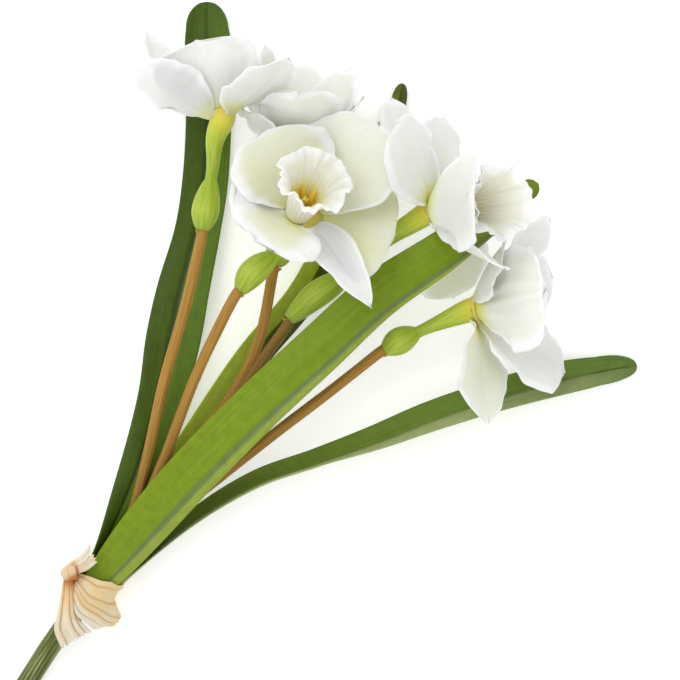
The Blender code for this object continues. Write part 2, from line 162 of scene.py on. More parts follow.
LEAVES = {
    "left": (
        Rib(-4, 6.6, 10, 3.2, 85), Rib(16, 7.5, 11, 5.5, 55), Rib(47, 15, 13, 8.6, 5),
        Rib(77, 28, 11, 9.6, 0), Rib(99, 40, 9, 11.2, 0), Rib(117, 50, 7, 10.8, 0),
        Rib(139, 61, 4.5, 9.4, 0), Rib(157, 72, 3, 9.4, 0), Rib(177, 87, 2, 9.4, 0),
        Rib(196, 103, 1.4, 9.8, 0), Rib(207, 113, 1.0, 8.2, 0), Rib(214, 119, 0.9, 3.0, 0),
    ),
    "front": (
        Rib(-4, 0, 17.5, 4.5, 0), Rib(16, 0, 20, 8.0, 0), Rib(38, 0, 25, 9.6, 0),
        Rib(68, -1, 33, 10.2, 0), Rib(103, -4, 40, 10.2, 0), Rib(135, -8, 45, 10.0, 0),
        Rib(165, -12, 46.5, 9.6, 4), Rib(193, -20, 47, 8.6, 8), Rib(207, -23.5, 43.5, 7.6, 8),
        Rib(222, -27, 33, 6.4, 0), Rib(233, -29.5, 29.5, 5.6, 0), Rib(242, -32.5, 26, 2.4, 0),
    ),
    "right": (
        Rib(-4, -6.6, 10, 3.2, -85), Rib(16, -8, 11, 4.6, -65), Rib(48, -14, 13, 6.0, -62),
        Rib(76, -24, 15, 7.0, -60), Rib(98, -37, 16, 7.6, -58), Rib(120, -50, 15, 8.2, -52),
        Rib(142, -62, 13, 8.8, -46), Rib(163, -75, 10, 9.0, -38), Rib(187, -91, 6, 8.4, -25),
        Rib(204, -104, 2.8, 5.6, -10), Rib(213, -112, 1.2, 1.4, 0),
    ),
    "inner": (
        Rib(-4, -1, 3.2, 3.2, 0), Rib(18, -1, 4, 4.2, 0), Rib(52, 5, 5, 6.4, 0),
        Rib(86, 9, 8, 7.8, 10), Rib(116, 12, 10, 8.2, 15), Rib(148, 12, 9, 8.0, 10),
        Rib(178, 18, 6, 7.6, 0), Rib(205, 24, 3.2, 6.8, 0), Rib(227, 30, 1.4, 5.2, 0),
        Rib(240, 36, 0.9, 1.0, 0),
    ),
}

# How far each leaf's halves are folded up about its midrib; minus folds them down.
LEAF_FOLD = {"left": 8.0, "front": -10.0, "right": 24.0, "inner": 35.0}

# How a tepal differs from its plain form: the rolling back of its rim, the height of its edge waves, of
# its soft buckles and of its pleats, the strength of the painted cream shade inside and of the same
# painted shade outside, and of the claw's green, how much wider it is, how sharp its tip is, how wide
# its painted white rim highlight is, and how much its roundness is pressed flat.
Look = namedtuple(
    "Look", "curl wave buckle pleat cream blush claw broad tip rim flat",
    defaults=(30, 0.8, 0.7, 0.0, 0.15, 0.1, 0.6, 1.1, 0.6, 0.28, 0.0),
)

FLOWER_LOOKS = {
    "left": Look(cream=0.1, broad=1.2, flat=0.1),
    "front": Look(curl=40, wave=1.0, cream=0.85, claw=0.5, broad=1.2, rim=0.25),
    "back": Look(cream=0.35, broad=1.1),
    "middle": Look(cream=0.2, blush=0.3, claw=0.9, broad=1.15),
    "right": Look(cream=0.15, broad=1.12),
}
TEPAL_LOOKS = {
    ("left", 1): Look(curl=16, cream=0.1, broad=1.3, tip=0.5, flat=0.3),
    ("left", 2): Look(curl=20, cream=0.1, broad=1.3, flat=0.2),
    ("left", 6): Look(curl=10, cream=0.1, broad=1.15, tip=0.85),
    ("front", 2): Look(curl=26, wave=0.9, cream=0.6, claw=0.4, broad=1.2, rim=0.1),
    ("front", 3): Look(curl=8, wave=0.5, cream=1.15, claw=0.5, broad=1.3, tip=0.5, rim=0.05),
    ("front", 4): Look(curl=4, wave=0.4, buckle=0.3, cream=0.0, claw=0.1, broad=1.15, tip=1.05),
    ("front", 5): Look(curl=40, wave=1.1, cream=0.8, claw=0.5, broad=1.2, rim=0.6, flat=0.4),
    ("front", 6): Look(curl=28, wave=1.1, cream=0.8, claw=0.5, broad=1.05, rim=0.4, flat=0.4),
    ("middle", 1): Look(curl=12, pleat=0.2, cream=0.2, blush=0.25, claw=0.9, tip=0.46, flat=0.35),
    ("middle", 5): Look(cream=0.7, claw=0.6, broad=1.08),
    ("middle", 6): Look(curl=10, cream=0.25, blush=0.6, claw=0.9, broad=1.15),
    ("right", 1): Look(curl=8, wave=1.4, pleat=0.6, cream=0.1, blush=0.35, claw=1.0, tip=0.5, flat=0.3),
    ("right", 5): Look(cream=0.1, broad=1.2, tip=0.5),
    ("right", 6): Look(curl=8, cream=0.6, claw=0.8, broad=1.3, tip=1.05, rim=0.2),
    ("back", 1): Look(curl=24, cream=0.5, blush=0.4, broad=1.1, tip=0.5),
}

# How far a flower's anthers fan out, and how plump they are: fuller where a trumpet is looked into.
STAMEN_SPREAD = {"front": (4.8, 1.15)}
PLAIN_SPREAD = (4.0, 0.9)

# How far a trumpet leans, in degrees, the turn it leans towards, and how far it sits along that turn and
# along its axis.
TRUMPET_LEAN = {"front": (16.0, 0.0, -3.0, 0.0), "middle": (20.0, 90.0, -4.0, 5.0)}
UPRIGHT = (0.0, 0.0, 0.0, 0.0)

# The first random seed of each kind of piece; a petal's is 100 times its flower's order plus its number.
SEEDS = {"trumpets": 500, "stamens": 700, "stalks": 900, "leaves": 1100, "raffia": 1300}


def linear(hex_colour):
    """An sRGB hex colour as linear red, green, blue and alpha."""
    channels = [int(hex_colour[place:place + 2], 16) / 255 for place in (1, 3, 5)]
    return (*[c / 12.92 if c <= 0.04045 else ((c + 0.055) / 1.055) ** 2.4 for c in channels], 1.0)


def size_property(name, description, default, soft_max=0.01):
    """A length that the panel shows in the scene's units."""
    return FloatProperty(
        name=name, description=description, default=default, min=0.0, soft_max=soft_max,
        precision=5, unit="LENGTH", subtype="DISTANCE",
    )


def colour_property(name, description, hex_colour):
    """A colour that the panel shows as a swatch."""
    return FloatVectorProperty(
        name=name, description=description, default=linear(hex_colour), size=4, min=0.0, max=1.0,
        subtype="COLOR",
    )


class BunchSizes(PropertyGroup):
    """The thicknesses of the thin parts."""

    tepal: size_property("Petal thickness", "Thickness of a petal at its middle", 0.0006)
    rim: size_property("Petal rim", "Thickness of a petal at its edge", 0.0003)
    corona: size_property("Trumpet wall", "Thickness of the trumpet's wall", 0.0006)
    leaf: size_property("Leaf thickness", "Thickness of a leaf at its midrib", 0.0009)
    leaf_rim: size_property("Leaf edge", "Thickness of a leaf at its edges", 0.0005)
    raffia: size_property("Raffia thickness", "Thickness of one layer of raffia", 0.0005)


class BunchColours(PropertyGroup):
    """The colours of each kind of piece."""

    petal: colour_property("Petal", "The petals' white", "#E1E2E2")
    petal_vein: colour_property("Petal veins", "The faint grey of the petals' veins", "#D6D8DA")
    # Painted highlight: this brighter white stands for the light caught by the petals' rolled rims and the
    # trumpets' lips.
    rim_highlight: colour_property("Petal rim", "The brighter white of the rolled rims", "#F2F3F3")
    # Painted shade: this olive cream stands for the shade inside the petals' cups.
    cream: colour_property("Petal cream", "The olive cream inside the petals", "#D8DAB0")
    claw: colour_property("Petal claw", "The yellow-green at the petals' feet", "#C9CC4E")
    trumpet: colour_property("Trumpet", "The trumpet's cream white", "#E3E2D4")
    throat: colour_property("Throat", "The yellow deep in the trumpet", "#FAE75A")
    anther: colour_property("Anthers", "The anthers' golden pollen", "#FFCE38")
    filament: colour_property("Filaments", "The pale yellow-green of the filaments", "#E8DC6A")
    tube: colour_property("Ovary and tube", "The yellow-green of the ovary", "#94AE18")
    tube_end: colour_property("Tube end", "The pale yellow of the tube's streaks", "#C9D06A")
    stalk: colour_property("Flower stalks", "The tan of the flower stalks", "#B08334")
    stalk_dark: colour_property("Stalk furrows", "The brown in the stalks' furrows", "#7E5B22")
    raffia: colour_property("Raffia", "The cream tan of the raffia", "#DFC594")
    raffia_stain: colour_property("Raffia stain", "The orange brown near the knot", "#C0772A")
    # Painted shade: this brown stands for the shade in the raffia's creases and between its layers.
    raffia_crease_shade: colour_property("Raffia creases", "The brown in the raffia's creases", "#8A5A26")
    raffia_pale: colour_property("Bleached raffia", "The bleached side of the raffia", "#DDD6C2")
    floor: colour_property("Floor", "The plain pale floor", "#FBFBFB")


def ease(t):
    """Rise smoothly from 0 to 1."""
    t = np.clip(t, 0.0, 1.0)
    return t * t * (3 - 2 * t)


def unit(vectors):
    """The vectors, each with a length of one."""
    return vectors / np.maximum(np.linalg.norm(vectors, axis=-1, keepdims=True), 1e-9)


def bell(value, centre, wide):
    """A smooth bump, 1 high over its centre."""
    return np.exp(-((value - centre) / wide) ** 2)


def down(count):
    """Places from 0 to 1 down a grid's rows."""
    return np.linspace(0, 1, count)[:, None]


def turns(sides):
    """The turns of a ring's points, in radians."""
    return 2 * pi * np.arange(sides) / sides


def smooth_route(stations, steps):
    """Points on a Catmull-Rom curve through the stations, with the same number of steps in each."""
    stations = np.array(stations, float)
    padded = np.vstack([stations[0] * 2 - stations[1], stations, stations[-1] * 2 - stations[-2]])
    route = []
    for index in range(len(stations) - 1):
        before, start, end, after = padded[index:index + 4]
        for t in np.arange(steps) / steps:
            pull = (end - before) * t + (before * 2 - start * 5 + end * 4 - after) * t * t
            route.append(start + (pull + (start * 3 - before - end * 3 + after) * t ** 3) / 2)
    route.append(stations[-1])
    return np.array(route)


def ripples(rng, across, along, most, count=6):
    """A smooth random height over a sheet, between about -1 and 1; most is its waves' highest counts."""
    height = np.zeros(np.broadcast(across, along).shape)
    for _ in range(count):
        turns = rng.uniform(0.3, 1.0, 2) * most * rng.choice((-1, 1), 2)
        height = height + np.sin(2 * pi * (across * turns[0] + along * turns[1] + rng.uniform()))
    return height / count ** 0.5


def sheet_normals(middle, closed):
    """The unit normals of a grid of points, closed across its rows or not."""
    if closed:
        across = np.roll(middle, -1, axis=1) - np.roll(middle, 1, axis=1)
    else:
        across = np.gradient(middle, axis=1)
    return unit(np.cross(across, np.gradient(middle, axis=0)))


def per_ring(value, rings, sides):
    """One value, one for each ring, or a grid of them, as a grid."""
    if np.ndim(value) == 1:
        value = np.asarray(value)[:, None]
    return np.broadcast_to(value, (rings, sides))


class Piece:
    """The points, faces, face corners' coordinates and painted values of one piece."""

    def __init__(self):
        self.points = []
        self.faces = []
        self.corners = []
        self.paint = {}
        self.count = 0

    def add(self, points, faces, corners, paint):
        """Add points with their faces; corners holds the two coordinates of each face's corners."""
        self.points.append(points)
        self.faces += [tuple(int(index) + self.count for index in face) for face in faces]
        self.corners += corners
        for name, values in paint.items():
            self.paint.setdefault(name, []).append(values)
        self.count += len(points)

    def add_sheet(self, middle, thick, closed=False, **paint):
        """Thicken a grid into a closed solid; a painted value may be one grid or a front and a back."""
        height, width = middle.shape[:2]
        normals = sheet_normals(middle, closed)
        normals = normals * (np.broadcast_to(thick, (height, width))[..., None] / 2)
        points = np.concatenate([(middle + normals).reshape(-1, 3), (middle - normals).reshape(-1, 3)])
        below = height * width
        columns = width if closed else width - 1
        faces = []
        corners = []

        def quad(places, offsets):
            faces.append([i * width + j % width + offset for (i, j), offset in zip(places, offsets)])
            corners.append([(j / columns, i / (height - 1)) for i, j in places])

        for i in range(height - 1):
            for j in range(columns):
                round_quad = ((i, j), (i, j + 1), (i + 1, j + 1), (i + 1, j))
                quad(round_quad, (0, 0, 0, 0))
                quad(round_quad[::-1], (below,) * 4)
        edges = []
        for j in range(columns):
            edges += [((0, j + 1), (0, j)), ((height - 1, j), (height - 1, j + 1))]
        if not closed:
            for i in range(height - 1):
                edges += [((i, 0), (i + 1, 0)), ((i + 1, width - 1), (i, width - 1))]
        for a, b in edges:
            quad((a, b, b, a), (0, 0, below, below))
        values = {}
        for name, value in paint.items():
            front, back = value if isinstance(value, tuple) else (value, value)
            sides = [np.broadcast_to(side, (height, width)).ravel() for side in (front, back)]
            values[name] = np.concatenate(sides)
        self.add(points, faces, corners, values)

    def add_rings(self, shell, ends, inwards, paint):
        """Join rings of points, with a point at each end; inwards turns the faces the other way."""
        rings, sides = shell.shape[:2]
        order = -1 if inwards else 1
        first, last = rings * sides, (rings - 1) * sides
        faces = []
        corners = []
        for i in range(rings - 1):
            low, high = i / (rings - 1), (i + 1) / (rings - 1)
            for j in range(sides):
                a, b = i * sides + j, i * sides + (j + 1) % sides
                left, right = j / sides, (j + 1) / sides
                faces.append((a, b, b + sides, a + sides)[::order])
                corners.append([(left, low), (right, low), (right, high), (left, high)][::order])
        for j in range(sides):
            k = (j + 1) % sides
            faces.append((first, *(k, j)[::order]))
            faces.append((first + 1, *(last + j, last + k)[::order]))
            corners += [[(j / sides, 0.0)] * 3, [(j / sides, 1.0)] * 3]
        values = {}
        for name, value in paint.items():
            grid = per_ring(value, rings, sides)
            values[name] = np.concatenate([grid.ravel(), [grid[0, 0], grid[-1, 0]]])
        self.add(np.concatenate([shell.reshape(-1, 3), ends]), faces, corners, values)

    def add_tube(self, route, radii, sides, end_normal=None, **paint):
        """Sweep a ring along a route, with closed ends; radii is one per ring or a grid of them."""
        tangents = unit(np.gradient(route, axis=0))
        if end_normal is not None:
            tangents[-1] = end_normal
        side = unit(np.cross(UP, tangents[0]) + (1e-6, 0.0, 0.0))
        turn = turns(sides)[:, None]
        shell = []
        for centre, tangent, ring in zip(route, tangents, per_ring(radii, len(route), sides)):
            side = unit(side - tangent * side.dot(tangent))
            other = np.cross(tangent, side)
            shell.append(centre + (side * np.cos(turn) + other * np.sin(turn)) * ring[:, None])
        self.add_rings(np.array(shell), [route[0], route[-1]], False, paint)

    def add_ball(self, shell, **paint):
        """A closed ball from rings of points, with a point at each end."""
        self.add_rings(shell, [shell[0].mean(0), shell[-1].mean(0)], True, paint)

    def finish(self, name, nodes, slot, surface):
        """Make the object, give it its surface, and let it stand for its nodes of the solid model."""
        mesh = bpy.data.meshes.new(name)
        points = (np.concatenate(self.points) + ORIGIN_SHIFT) * MM
        mesh.from_pydata(points.tolist(), [], self.faces)
        layer = mesh.uv_layers.new(name="Grain")
        flat = [value for face in self.corners for corner in face for value in corner]
        layer.data.foreach_set("uv", flat)
        for paint, values in self.paint.items():
            attribute = mesh.attributes.new(paint, "FLOAT", "POINT")
            attribute.data.foreach_set("value", np.concatenate(values).astype(np.float32))
        mesh.shade_smooth()
        mesh.materials.append(surface)
        mesh.update()
        obj = bpy.data.objects.new(name, mesh)
        bpy.context.scene.collection.objects.link(obj)
        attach(obj, "root")
        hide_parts(*nodes)
        return obj


def add_node(tree, kind, inputs=None, stops=(), **settings):
    """Add a shader node, set it, and link or set its inputs; stops are a ramp's places and hex colours."""
    made = tree.nodes.new("ShaderNode" + kind)
    for name, value in settings.items():
        setattr(made, name, value)
    for index, (place, hex_colour) in enumerate(stops):
        elements = made.color_ramp.elements
        element = elements[index] if index < 2 else elements.new(place)
        element.position = place
        element.color = linear(hex_colour)
    for key, value in (inputs or {}).items():
        if isinstance(value, bpy.types.Node):
            value = next(socket for socket in value.outputs if socket.enabled)
        if isinstance(value, bpy.types.NodeSocket):
            tree.links.new(value, made.inputs[key])
        else:
            made.inputs[key].default_value = value
    return made


class Surface:
    """A material in the making, with the steps that the recipes below share."""

    def __init__(self, name):
        self.material = bpy.data.materials.new(name)
        self.material.use_nodes = True
        self.tree = self.material.node_tree
        self.shader = self.tree.nodes["Principled BSDF"]

    def grain(self):
        """The piece's own coordinates: X across or round it, Y along it."""
        return add_node(self.tree, "UVMap", uv_map="Grain")

    def paint(self, name):
        """A value that was painted on the mesh."""
        return add_node(self.tree, "Attribute", attribute_name=name).outputs["Fac"]

    def streaks(self, grain, across, along, detail):
        """Noise drawn out along the grain, with these counts across it and along it."""
        at = add_node(self.tree, "Mapping", {"Vector": grain, "Scale": (across, along, 1.0)})
        return add_node(self.tree, "TexNoise", {"Vector": at, "Scale": 1.0, "Detail": detail})

    def clouds(self, scale, detail):
        """Noise in the bunch's own space, with this many spots to a metre."""
        place = add_node(self.tree, "TexCoord").outputs["Object"]
        return add_node(self.tree, "TexNoise", {"Vector": place, "Scale": scale, "Detail": detail})

    def spread(self, value, low, high, least, most):
        """A value between low and high, spread from least to most."""
        limits = {"From Min": low, "From Max": high, "To Min": least, "To Max": most}
        return add_node(self.tree, "MapRange", {"Value": value, **limits})

    def math(self, operation, *values, **settings):
        """The sum, product or other result of one or two values."""
        return add_node(self.tree, "Math", dict(enumerate(values)), operation=operation, **settings)

    def mix(self, share, first, second):
        """The first colour with a share of the second."""
        return add_node(self.tree, "Mix", {0: share, 6: first, 7: second}, data_type="RGBA")

    def lit(self, colour, light):
        """A colour made lighter or darker."""
        return add_node(self.tree, "HueSaturation", {"Color": colour, "Value": light})

    def finish(self, colour, height, strength, distance, **uniform):
        """Link the colour and the bump, and set the uniform values on the shader's own sockets."""
        uniform = {"IOR": 1.45, "Specular_IOR_Level": 0.35, **uniform}
        bump = add_node(self.tree, "Bump", {"Height": height, "Strength": strength, "Distance": distance})
        self.tree.links.new(bump.outputs["Normal"], self.shader.inputs["Normal"])
        if colour is not None:
            output = next(socket for socket in colour.outputs if socket.enabled)
            self.tree.links.new(output, self.shader.inputs["Base Color"])
        for name, value in uniform.items():
            self.shader.inputs[name.replace("_", " ")].default_value = value
        return self.material


def colours():
    """The panel's colours."""
    return bpy.context.scene.daffodil_colours


def sizes():
    """The panel's sizes in millimetres, by name."""
    group = bpy.context.scene.daffodil_sizes
    return {name: getattr(group, name) / MM for name in BunchSizes.__annotations__}


def petal_surface():
    """Fresh petal, grown thin. The eye sees a matt white with a satin bloom, fine veins about 1 mm
    apart that run from the claw to the tip, and light that comes softly through. Olive cream is painted
    on as shade inside the cups, and a brighter white as a highlight on the rolled rims."""
    made, palette = Surface("Fresh petal"), colours()
    # 34 veins over a petal that is 34 mm wide, drawn out at least ten times as long as they are wide
    veins = made.streaks(made.grain(), 34.0, 3.0, 3.0)
    # clouding of about 12 mm, as the petal's thickness varies
    uneven = made.spread(made.clouds(80.0, 2.0), 0.3, 0.7, 0.75, 1.1)
    base = made.mix(made.spread(veins, 0.4, 0.7, 0.0, 0.45), palette.petal, palette.petal_vein)
    # painted shade: the olive cream laid inside the petals where their cups are shaded, varied by the
    # clouding
    shaded_inside = made.mix(made.math("MULTIPLY", made.paint("cream"), uneven), base, palette.cream)
    clawed = made.mix(made.paint("claw"), shaded_inside, palette.claw)
    # painted highlight along the rolled rims
    rim_highlighted = made.mix(made.paint("rim"), clawed, palette.rim_highlight)
    return made.finish(
        rim_highlighted, veins, 0.16, 0.0004, Roughness=0.6, IOR=1.4,
        Subsurface_Weight=0.8, Subsurface_Radius=(1.0, 0.98, 0.9), Subsurface_Scale=0.0025,
    )


def trumpet_surface():
    """Fresh trumpet wall, fluted and frilled. The eye sees cream white with fine ribs about 1.5 mm
    apart, a rim brightened with a painted highlight, and yellow that gathers in the throat."""
    made, palette = Surface("Fresh trumpet"), colours()
    # 60 ribs round a mouth that is 83 mm round
    ribs = made.streaks(made.grain(), 60.0, 2.5, 2.0)
    depth = made.math("MULTIPLY", made.paint("depth"), made.spread(ribs, 0.3, 0.7, 0.6, 1.15))
    tinted = made.mix(depth, palette.trumpet, palette.throat)
    # painted highlight on the frilled lip
    rim_highlighted = made.mix(made.paint("rim"), tinted, palette.rim_highlight)
    return made.finish(
        rim_highlighted, ribs, 0.3, 0.0005, Roughness=0.58, IOR=1.4,
        Subsurface_Weight=0.8, Subsurface_Radius=(1.0, 0.97, 0.8), Subsurface_Scale=0.0025,
    )


def stamen_surface():
    """Filaments and anthers with loose pollen. The eye sees smooth pale stalks and golden, powdery
    anthers; the grains, really 0.05 mm, are drawn at 0.3 mm so that they show."""
    made, palette = Surface("Pollen on anthers"), colours()
    grains = made.clouds(3300.0, 1.0)
    share = made.math("MULTIPLY", made.paint("pollen"), made.spread(grains, 0.3, 0.7, 0.7, 1.0))
    tinted = made.mix(share, palette.filament, palette.anther)
    return made.finish(
        tinted, grains, 0.5, 0.0002, Roughness=0.75, Specular_IOR_Level=0.5,
        Subsurface_Weight=0.15, Subsurface_Scale=0.001,
    )


# The greens along an ovary and its tube, from the stalk to the petals.
TUBE_GREENS = (
    (0.0, "#7E9A0C"), (0.2, "#98B01A"), (0.42, "#849E10"), (0.75, "#A5BA26"), (0.93, "#CFC838"),
    (1.0, "#E2C95A"),
)


def tube_surface():
    """Fresh ovary and tube, waxy. The eye sees a smooth yellow-green with a soft gloss, faint
    lengthwise streaks about 1 mm apart, and a paler, yellow-flecked end under the petals."""
    made, palette = Surface("Waxy ovary"), colours()
    grain = made.grain()
    # 24 streaks round a tube that is 14 mm round at its neck and 35 mm at the ovary
    streaks = made.streaks(grain, 24.0, 4.0, 3.0)
    along = add_node(made.tree, "SeparateXYZ", {"Vector": grain}).outputs["Y"]
    green = add_node(made.tree, "ValToRGB", {"Fac": along}, TUBE_GREENS)
    streaked = made.mix(made.spread(streaks, 0.35, 0.7, 0.0, 0.55), green, palette.tube_end)
    shaded = made.mix(made.paint("shade"), streaked, palette.tube)
    return made.finish(
        shaded, streaks, 0.25, 0.0005, Roughness=0.48,
        Subsurface_Weight=0.3, Subsurface_Radius=(0.8, 1.0, 0.3), Subsurface_Scale=0.002,
    )


STALK_SHADE = "#4A3D16"


def stalk_surface():
    """Flower stalk with its papery skin. The eye sees a tan cord-like skin with brown lengthwise
    furrows half a millimetre apart and a dull satin gloss."""
    made, palette = Surface("Papery flower stalk"), colours()
    # 26 furrows round a stalk that is 14 mm round
    furrows = made.streaks(made.grain(), 26.0, 9.0, 4.0)
    skin = made.mix(made.spread(furrows, 0.42, 0.7, 0.0, 0.6), palette.stalk, palette.stalk_dark)
    toned = made.mix(made.paint("tone"), skin, linear(STALK_SHADE))
    return made.finish(toned, furrows, 0.5, 0.0006, Roughness=0.55)


# A leaf's faces: the colours of its two sides of the rib, which paint one flank lit and the other in
# shade, of its rib and of its tip, and where the rib lies across it, from -1 to 1, at its foot and at
# its tip, and the rib's half width.
LeafFace = namedtuple("LeafFace", "left right rib tip rib_at rib_end rib_half")
LEAF_FACES = {
    "left": LeafFace("#527006", "#44590C", "#35441C", "#43590C", 0.22, 0.0, 0.13),
    "front": LeafFace("#8A9C36", "#748C0C", "#66774A", "#6A7F10", -0.42, -0.95, 0.15),
    "right": LeafFace("#9AA66C", "#677F28", "#808F50", "#566E2C", -0.2, 0.0, 0.1),
    "inner": LeafFace("#4A5412", "#AEC23C", "#7E9026", "#3E4A10", -0.15, 0.0, 0.08),
}


def leaf_surface(label):
    """Fresh strap leaf with a waxy skin. The eye sees satin green with fine parallel veins about
    0.8 mm apart, soft mottling a few millimetres across, a rib and a tip of their own green, and two
    halves split at the rib that are painted one lit and one in shade."""
    made, face = Surface(f"Waxy {label} leaf"), LEAF_FACES[label]
    grain = made.grain()
    axis = add_node(made.tree, "SeparateXYZ", {"Vector": grain})
    across, along = axis.outputs["X"], axis.outputs["Y"]
    # 25 veins over a leaf that is 20 mm wide
    veins = made.streaks(grain, 25.0, 5.0, 4.0)
    rib_line = made.spread(along, 0.0, 1.0, 0.5 + face.rib_at / 2, 0.5 + face.rib_end / 2)
    from_rib = made.math("SUBTRACT", across, rib_line)
    side = made.spread(from_rib, -0.02, 0.02, 0.0, 1.0)
    # Painted light and shade: the two halves either side of the rib, one lit and one shaded.
    lit_and_shaded_halves = made.mix(side, linear(face.left), linear(face.right))
    off_rib = made.math("ABSOLUTE", from_rib)
    rib = made.spread(off_rib, face.rib_half / 4, face.rib_half / 2, 0.85, 0.0)
    # Painted rib: on the left leaf it is painted shade in the fold's channel, on the front leaf partly a
    # painted gloss highlight over the rib's own green.
    ribbed = made.mix(rib, lit_and_shaded_halves, linear(face.rib))
    tipped = made.mix(made.spread(along, 0.7, 0.98, 0.0, 0.85), ribbed, linear(face.tip))
    # mottling of about 4 mm
    mottle = made.spread(made.clouds(260.0, 4.0), 0.3, 0.7, 0.9, 1.08)
    light = made.math("MULTIPLY", made.spread(veins, 0.3, 0.7, 0.88, 1.1), mottle)
    return made.finish(
        made.lit(tipped, light), veins, 0.3, 0.0005, Roughness=0.5, Specular_IOR_Level=0.3,
        Subsurface_Weight=0.1, Subsurface_Radius=(0.5, 1.0, 0.2), Subsurface_Scale=0.001,
    )


# The greens of the main stem, from its furrows to its streaks.
SCAPE_GREENS = ((0.3, "#343D0E"), (0.52, "#566222"), (0.66, "#A3A876"))


def scape_surface():
    """Main stem, fluted and waxy. The eye sees dark green with pale lengthwise streaks 1 mm apart."""
    made = Surface("Waxy stem")
    # 26 streaks round a stem that is 26 mm round
    streaks = made.streaks(made.grain(), 26.0, 3.0, 4.0)
    green = add_node(made.tree, "ValToRGB", {"Fac": streaks}, SCAPE_GREENS)
    return made.finish(green, streaks, 0.4, 0.0005, Roughness=0.5)


def raffia_surface():
    """Raffia, dried palm leaf split into ribbons. The eye sees a dry cream tan with faint fibres
    0.7 mm apart along the ribbon, brown painted shade in the creases and where the tail meets the band,
    orange-brown stains by the knot and a bleached, whiter side."""
    made, palette = Surface("Dried raffia"), colours()
    places = {"X": made.paint("across"), "Y": made.paint("along")}
    # 28 fibres over a ribbon that is 20 mm wide
    fibres = made.streaks(add_node(made.tree, "CombineXYZ", places), 28.0, 3.0, 4.0)
    # patches of about 7 mm
    clouds = made.clouds(140.0, 3.0)
    faded = made.spread(clouds, 0.45, 0.7, 0.0, 0.6)
    bleached = made.math("ADD", made.paint("bleach"), faded, use_clamp=True)
    pale = made.mix(bleached, palette.raffia, palette.raffia_pale)
    patchy = made.spread(clouds, 0.35, 0.65, 0.3, 1.3)
    stain = made.math("MULTIPLY", made.paint("stain"), patchy, use_clamp=True)
    stained = made.mix(stain, pale, palette.raffia_stain)
    # painted shade in the creases
    crease_shaded = made.mix(made.paint("crease"), stained, palette.raffia_crease_shade)
    return made.finish(
        made.lit(crease_shaded, made.spread(fibres, 0.3, 0.7, 0.9, 1.07)), fibres, 0.3, 0.0005,
        Roughness=0.65, IOR=1.5,
        Subsurface_Weight=0.3, Subsurface_Radius=(1.0, 0.8, 0.5), Subsurface_Scale=0.001,
    )


class Axes:
    """A flower's own frame: its throat, its axis, and two directions across the axis."""

    def __init__(self, flower):
        heading = radians(flower.heading)
        pitch = radians(flower.pitch)
        self.throat = np.array(flower.throat)
        self.axis = np.array((cos(heading) * cos(pitch), sin(heading) * cos(pitch), sin(pitch)))
        self.right = unit(np.cross(self.axis, UP))
        self.up = np.cross(self.right, self.axis)

    def outward(self, turn):
        """The direction away from the axis at a turn, or at each of several, in degrees."""
        turn = np.radians(turn)
        return np.multiply.outer(np.cos(turn), self.right) + np.multiply.outer(np.sin(turn), self.up)

    def leaned(self, lean, towards, aside, ahead):
        """The same frame leaned over towards a turn, and moved along that turn and its axis."""
        made = copy(self)
        lean = radians(lean)
        way = self.outward(towards)
        side = self.outward(towards + 90)
        made.axis = self.axis * cos(lean) + way * sin(lean)
        leant = way * cos(lean) - self.axis * sin(lean)
        made.right = leant * cos(radians(towards)) - side * sin(radians(towards))
        made.up = leant * sin(radians(towards)) + side * cos(radians(towards))
        made.throat = self.throat + way * aside + self.axis * ahead
        return made

    def at(self, turn, radius, height):
        """Points at turns round the axis, radii from it and heights above the throat."""
        radius = np.asarray(radius, float)[..., None]
        height = np.asarray(height, float)[..., None]
        return self.throat + self.outward(turn) * radius + self.axis * height

    def route(self, steps, *places):
        """A smooth route through places, each a turn, a radius and a height."""
        return smooth_route([self.at(*place) for place in places], steps)


def flowers(seed=0):
    """Each flower's label, its row of the table, its frame, and its own random numbers."""
    for order, (label, flower) in enumerate(FLOWERS.items()):
        yield label, flower, Axes(flower), np.random.default_rng(seed + order)


# The fineness of a petal, where its rim starts to roll back, its least half width, and the foot that
# runs into the tube.
TEPAL_ROWS = 54
TEPAL_COLUMNS = 40
STEPS_PER_ROW = 4
CURL_FROM = 0.60
LEAST_HALF_WIDTH = 0.3
FOOT_LENGTH = 2.6
FOOT_ROWS = 3
FOOT_TAPER = (0.45, 0.9)


def tepal_outline(share, tip):
    """Half the width of a tepal along its length, as a share of its widest, drawn to a small point."""
    plain = (0.03 + share) ** 0.74 * (1.0 - share * 0.985) ** tip
    return plain / plain.max() * (1 - 0.85 * ease((share - 0.93) / 0.07) ** 2)


def tepal_relief(look, s, w, rng):
    """The heights of a tepal's edge waves, buckles, midrib groove, veins and pleats."""
    phase = rng.uniform(0, 2 * pi, 4)
    edge = np.where(w < 0, np.sin(2 * pi * 2.3 * s + phase[0]), np.sin(2 * pi * 2.7 * s + phase[1]))
    fine = np.where(w < 0, np.sin(2 * pi * 6.1 * s + phase[2]), np.sin(2 * pi * 5.3 * s + phase[3]))
    height = look.wave * (edge + 0.35 * fine) * np.abs(w) ** 2.5 * ease(s * 3)
    height = height + look.buckle * 0.6 * ripples(rng, w * 0.5, s, 1.6) * ease(s * 2.5)
    groove = bell(w, 0, 0.07) - 0.5 * bell(np.abs(w), 0.16, 0.06)
    height = height - 0.35 * groove * ease(s * 4) * (1 - s)
    height = height + 0.05 * np.cos(2 * pi * 9 * w + 3 * s) * ease(s * 3) * (1 - np.abs(w))
    pleats = np.cos(2 * pi * (2.3 * w + 0.35 * np.sin(4 * w)) + phase[0])
    return height + look.pleat * pleats * ease(s * 2) * (1 - 0.3 * s)


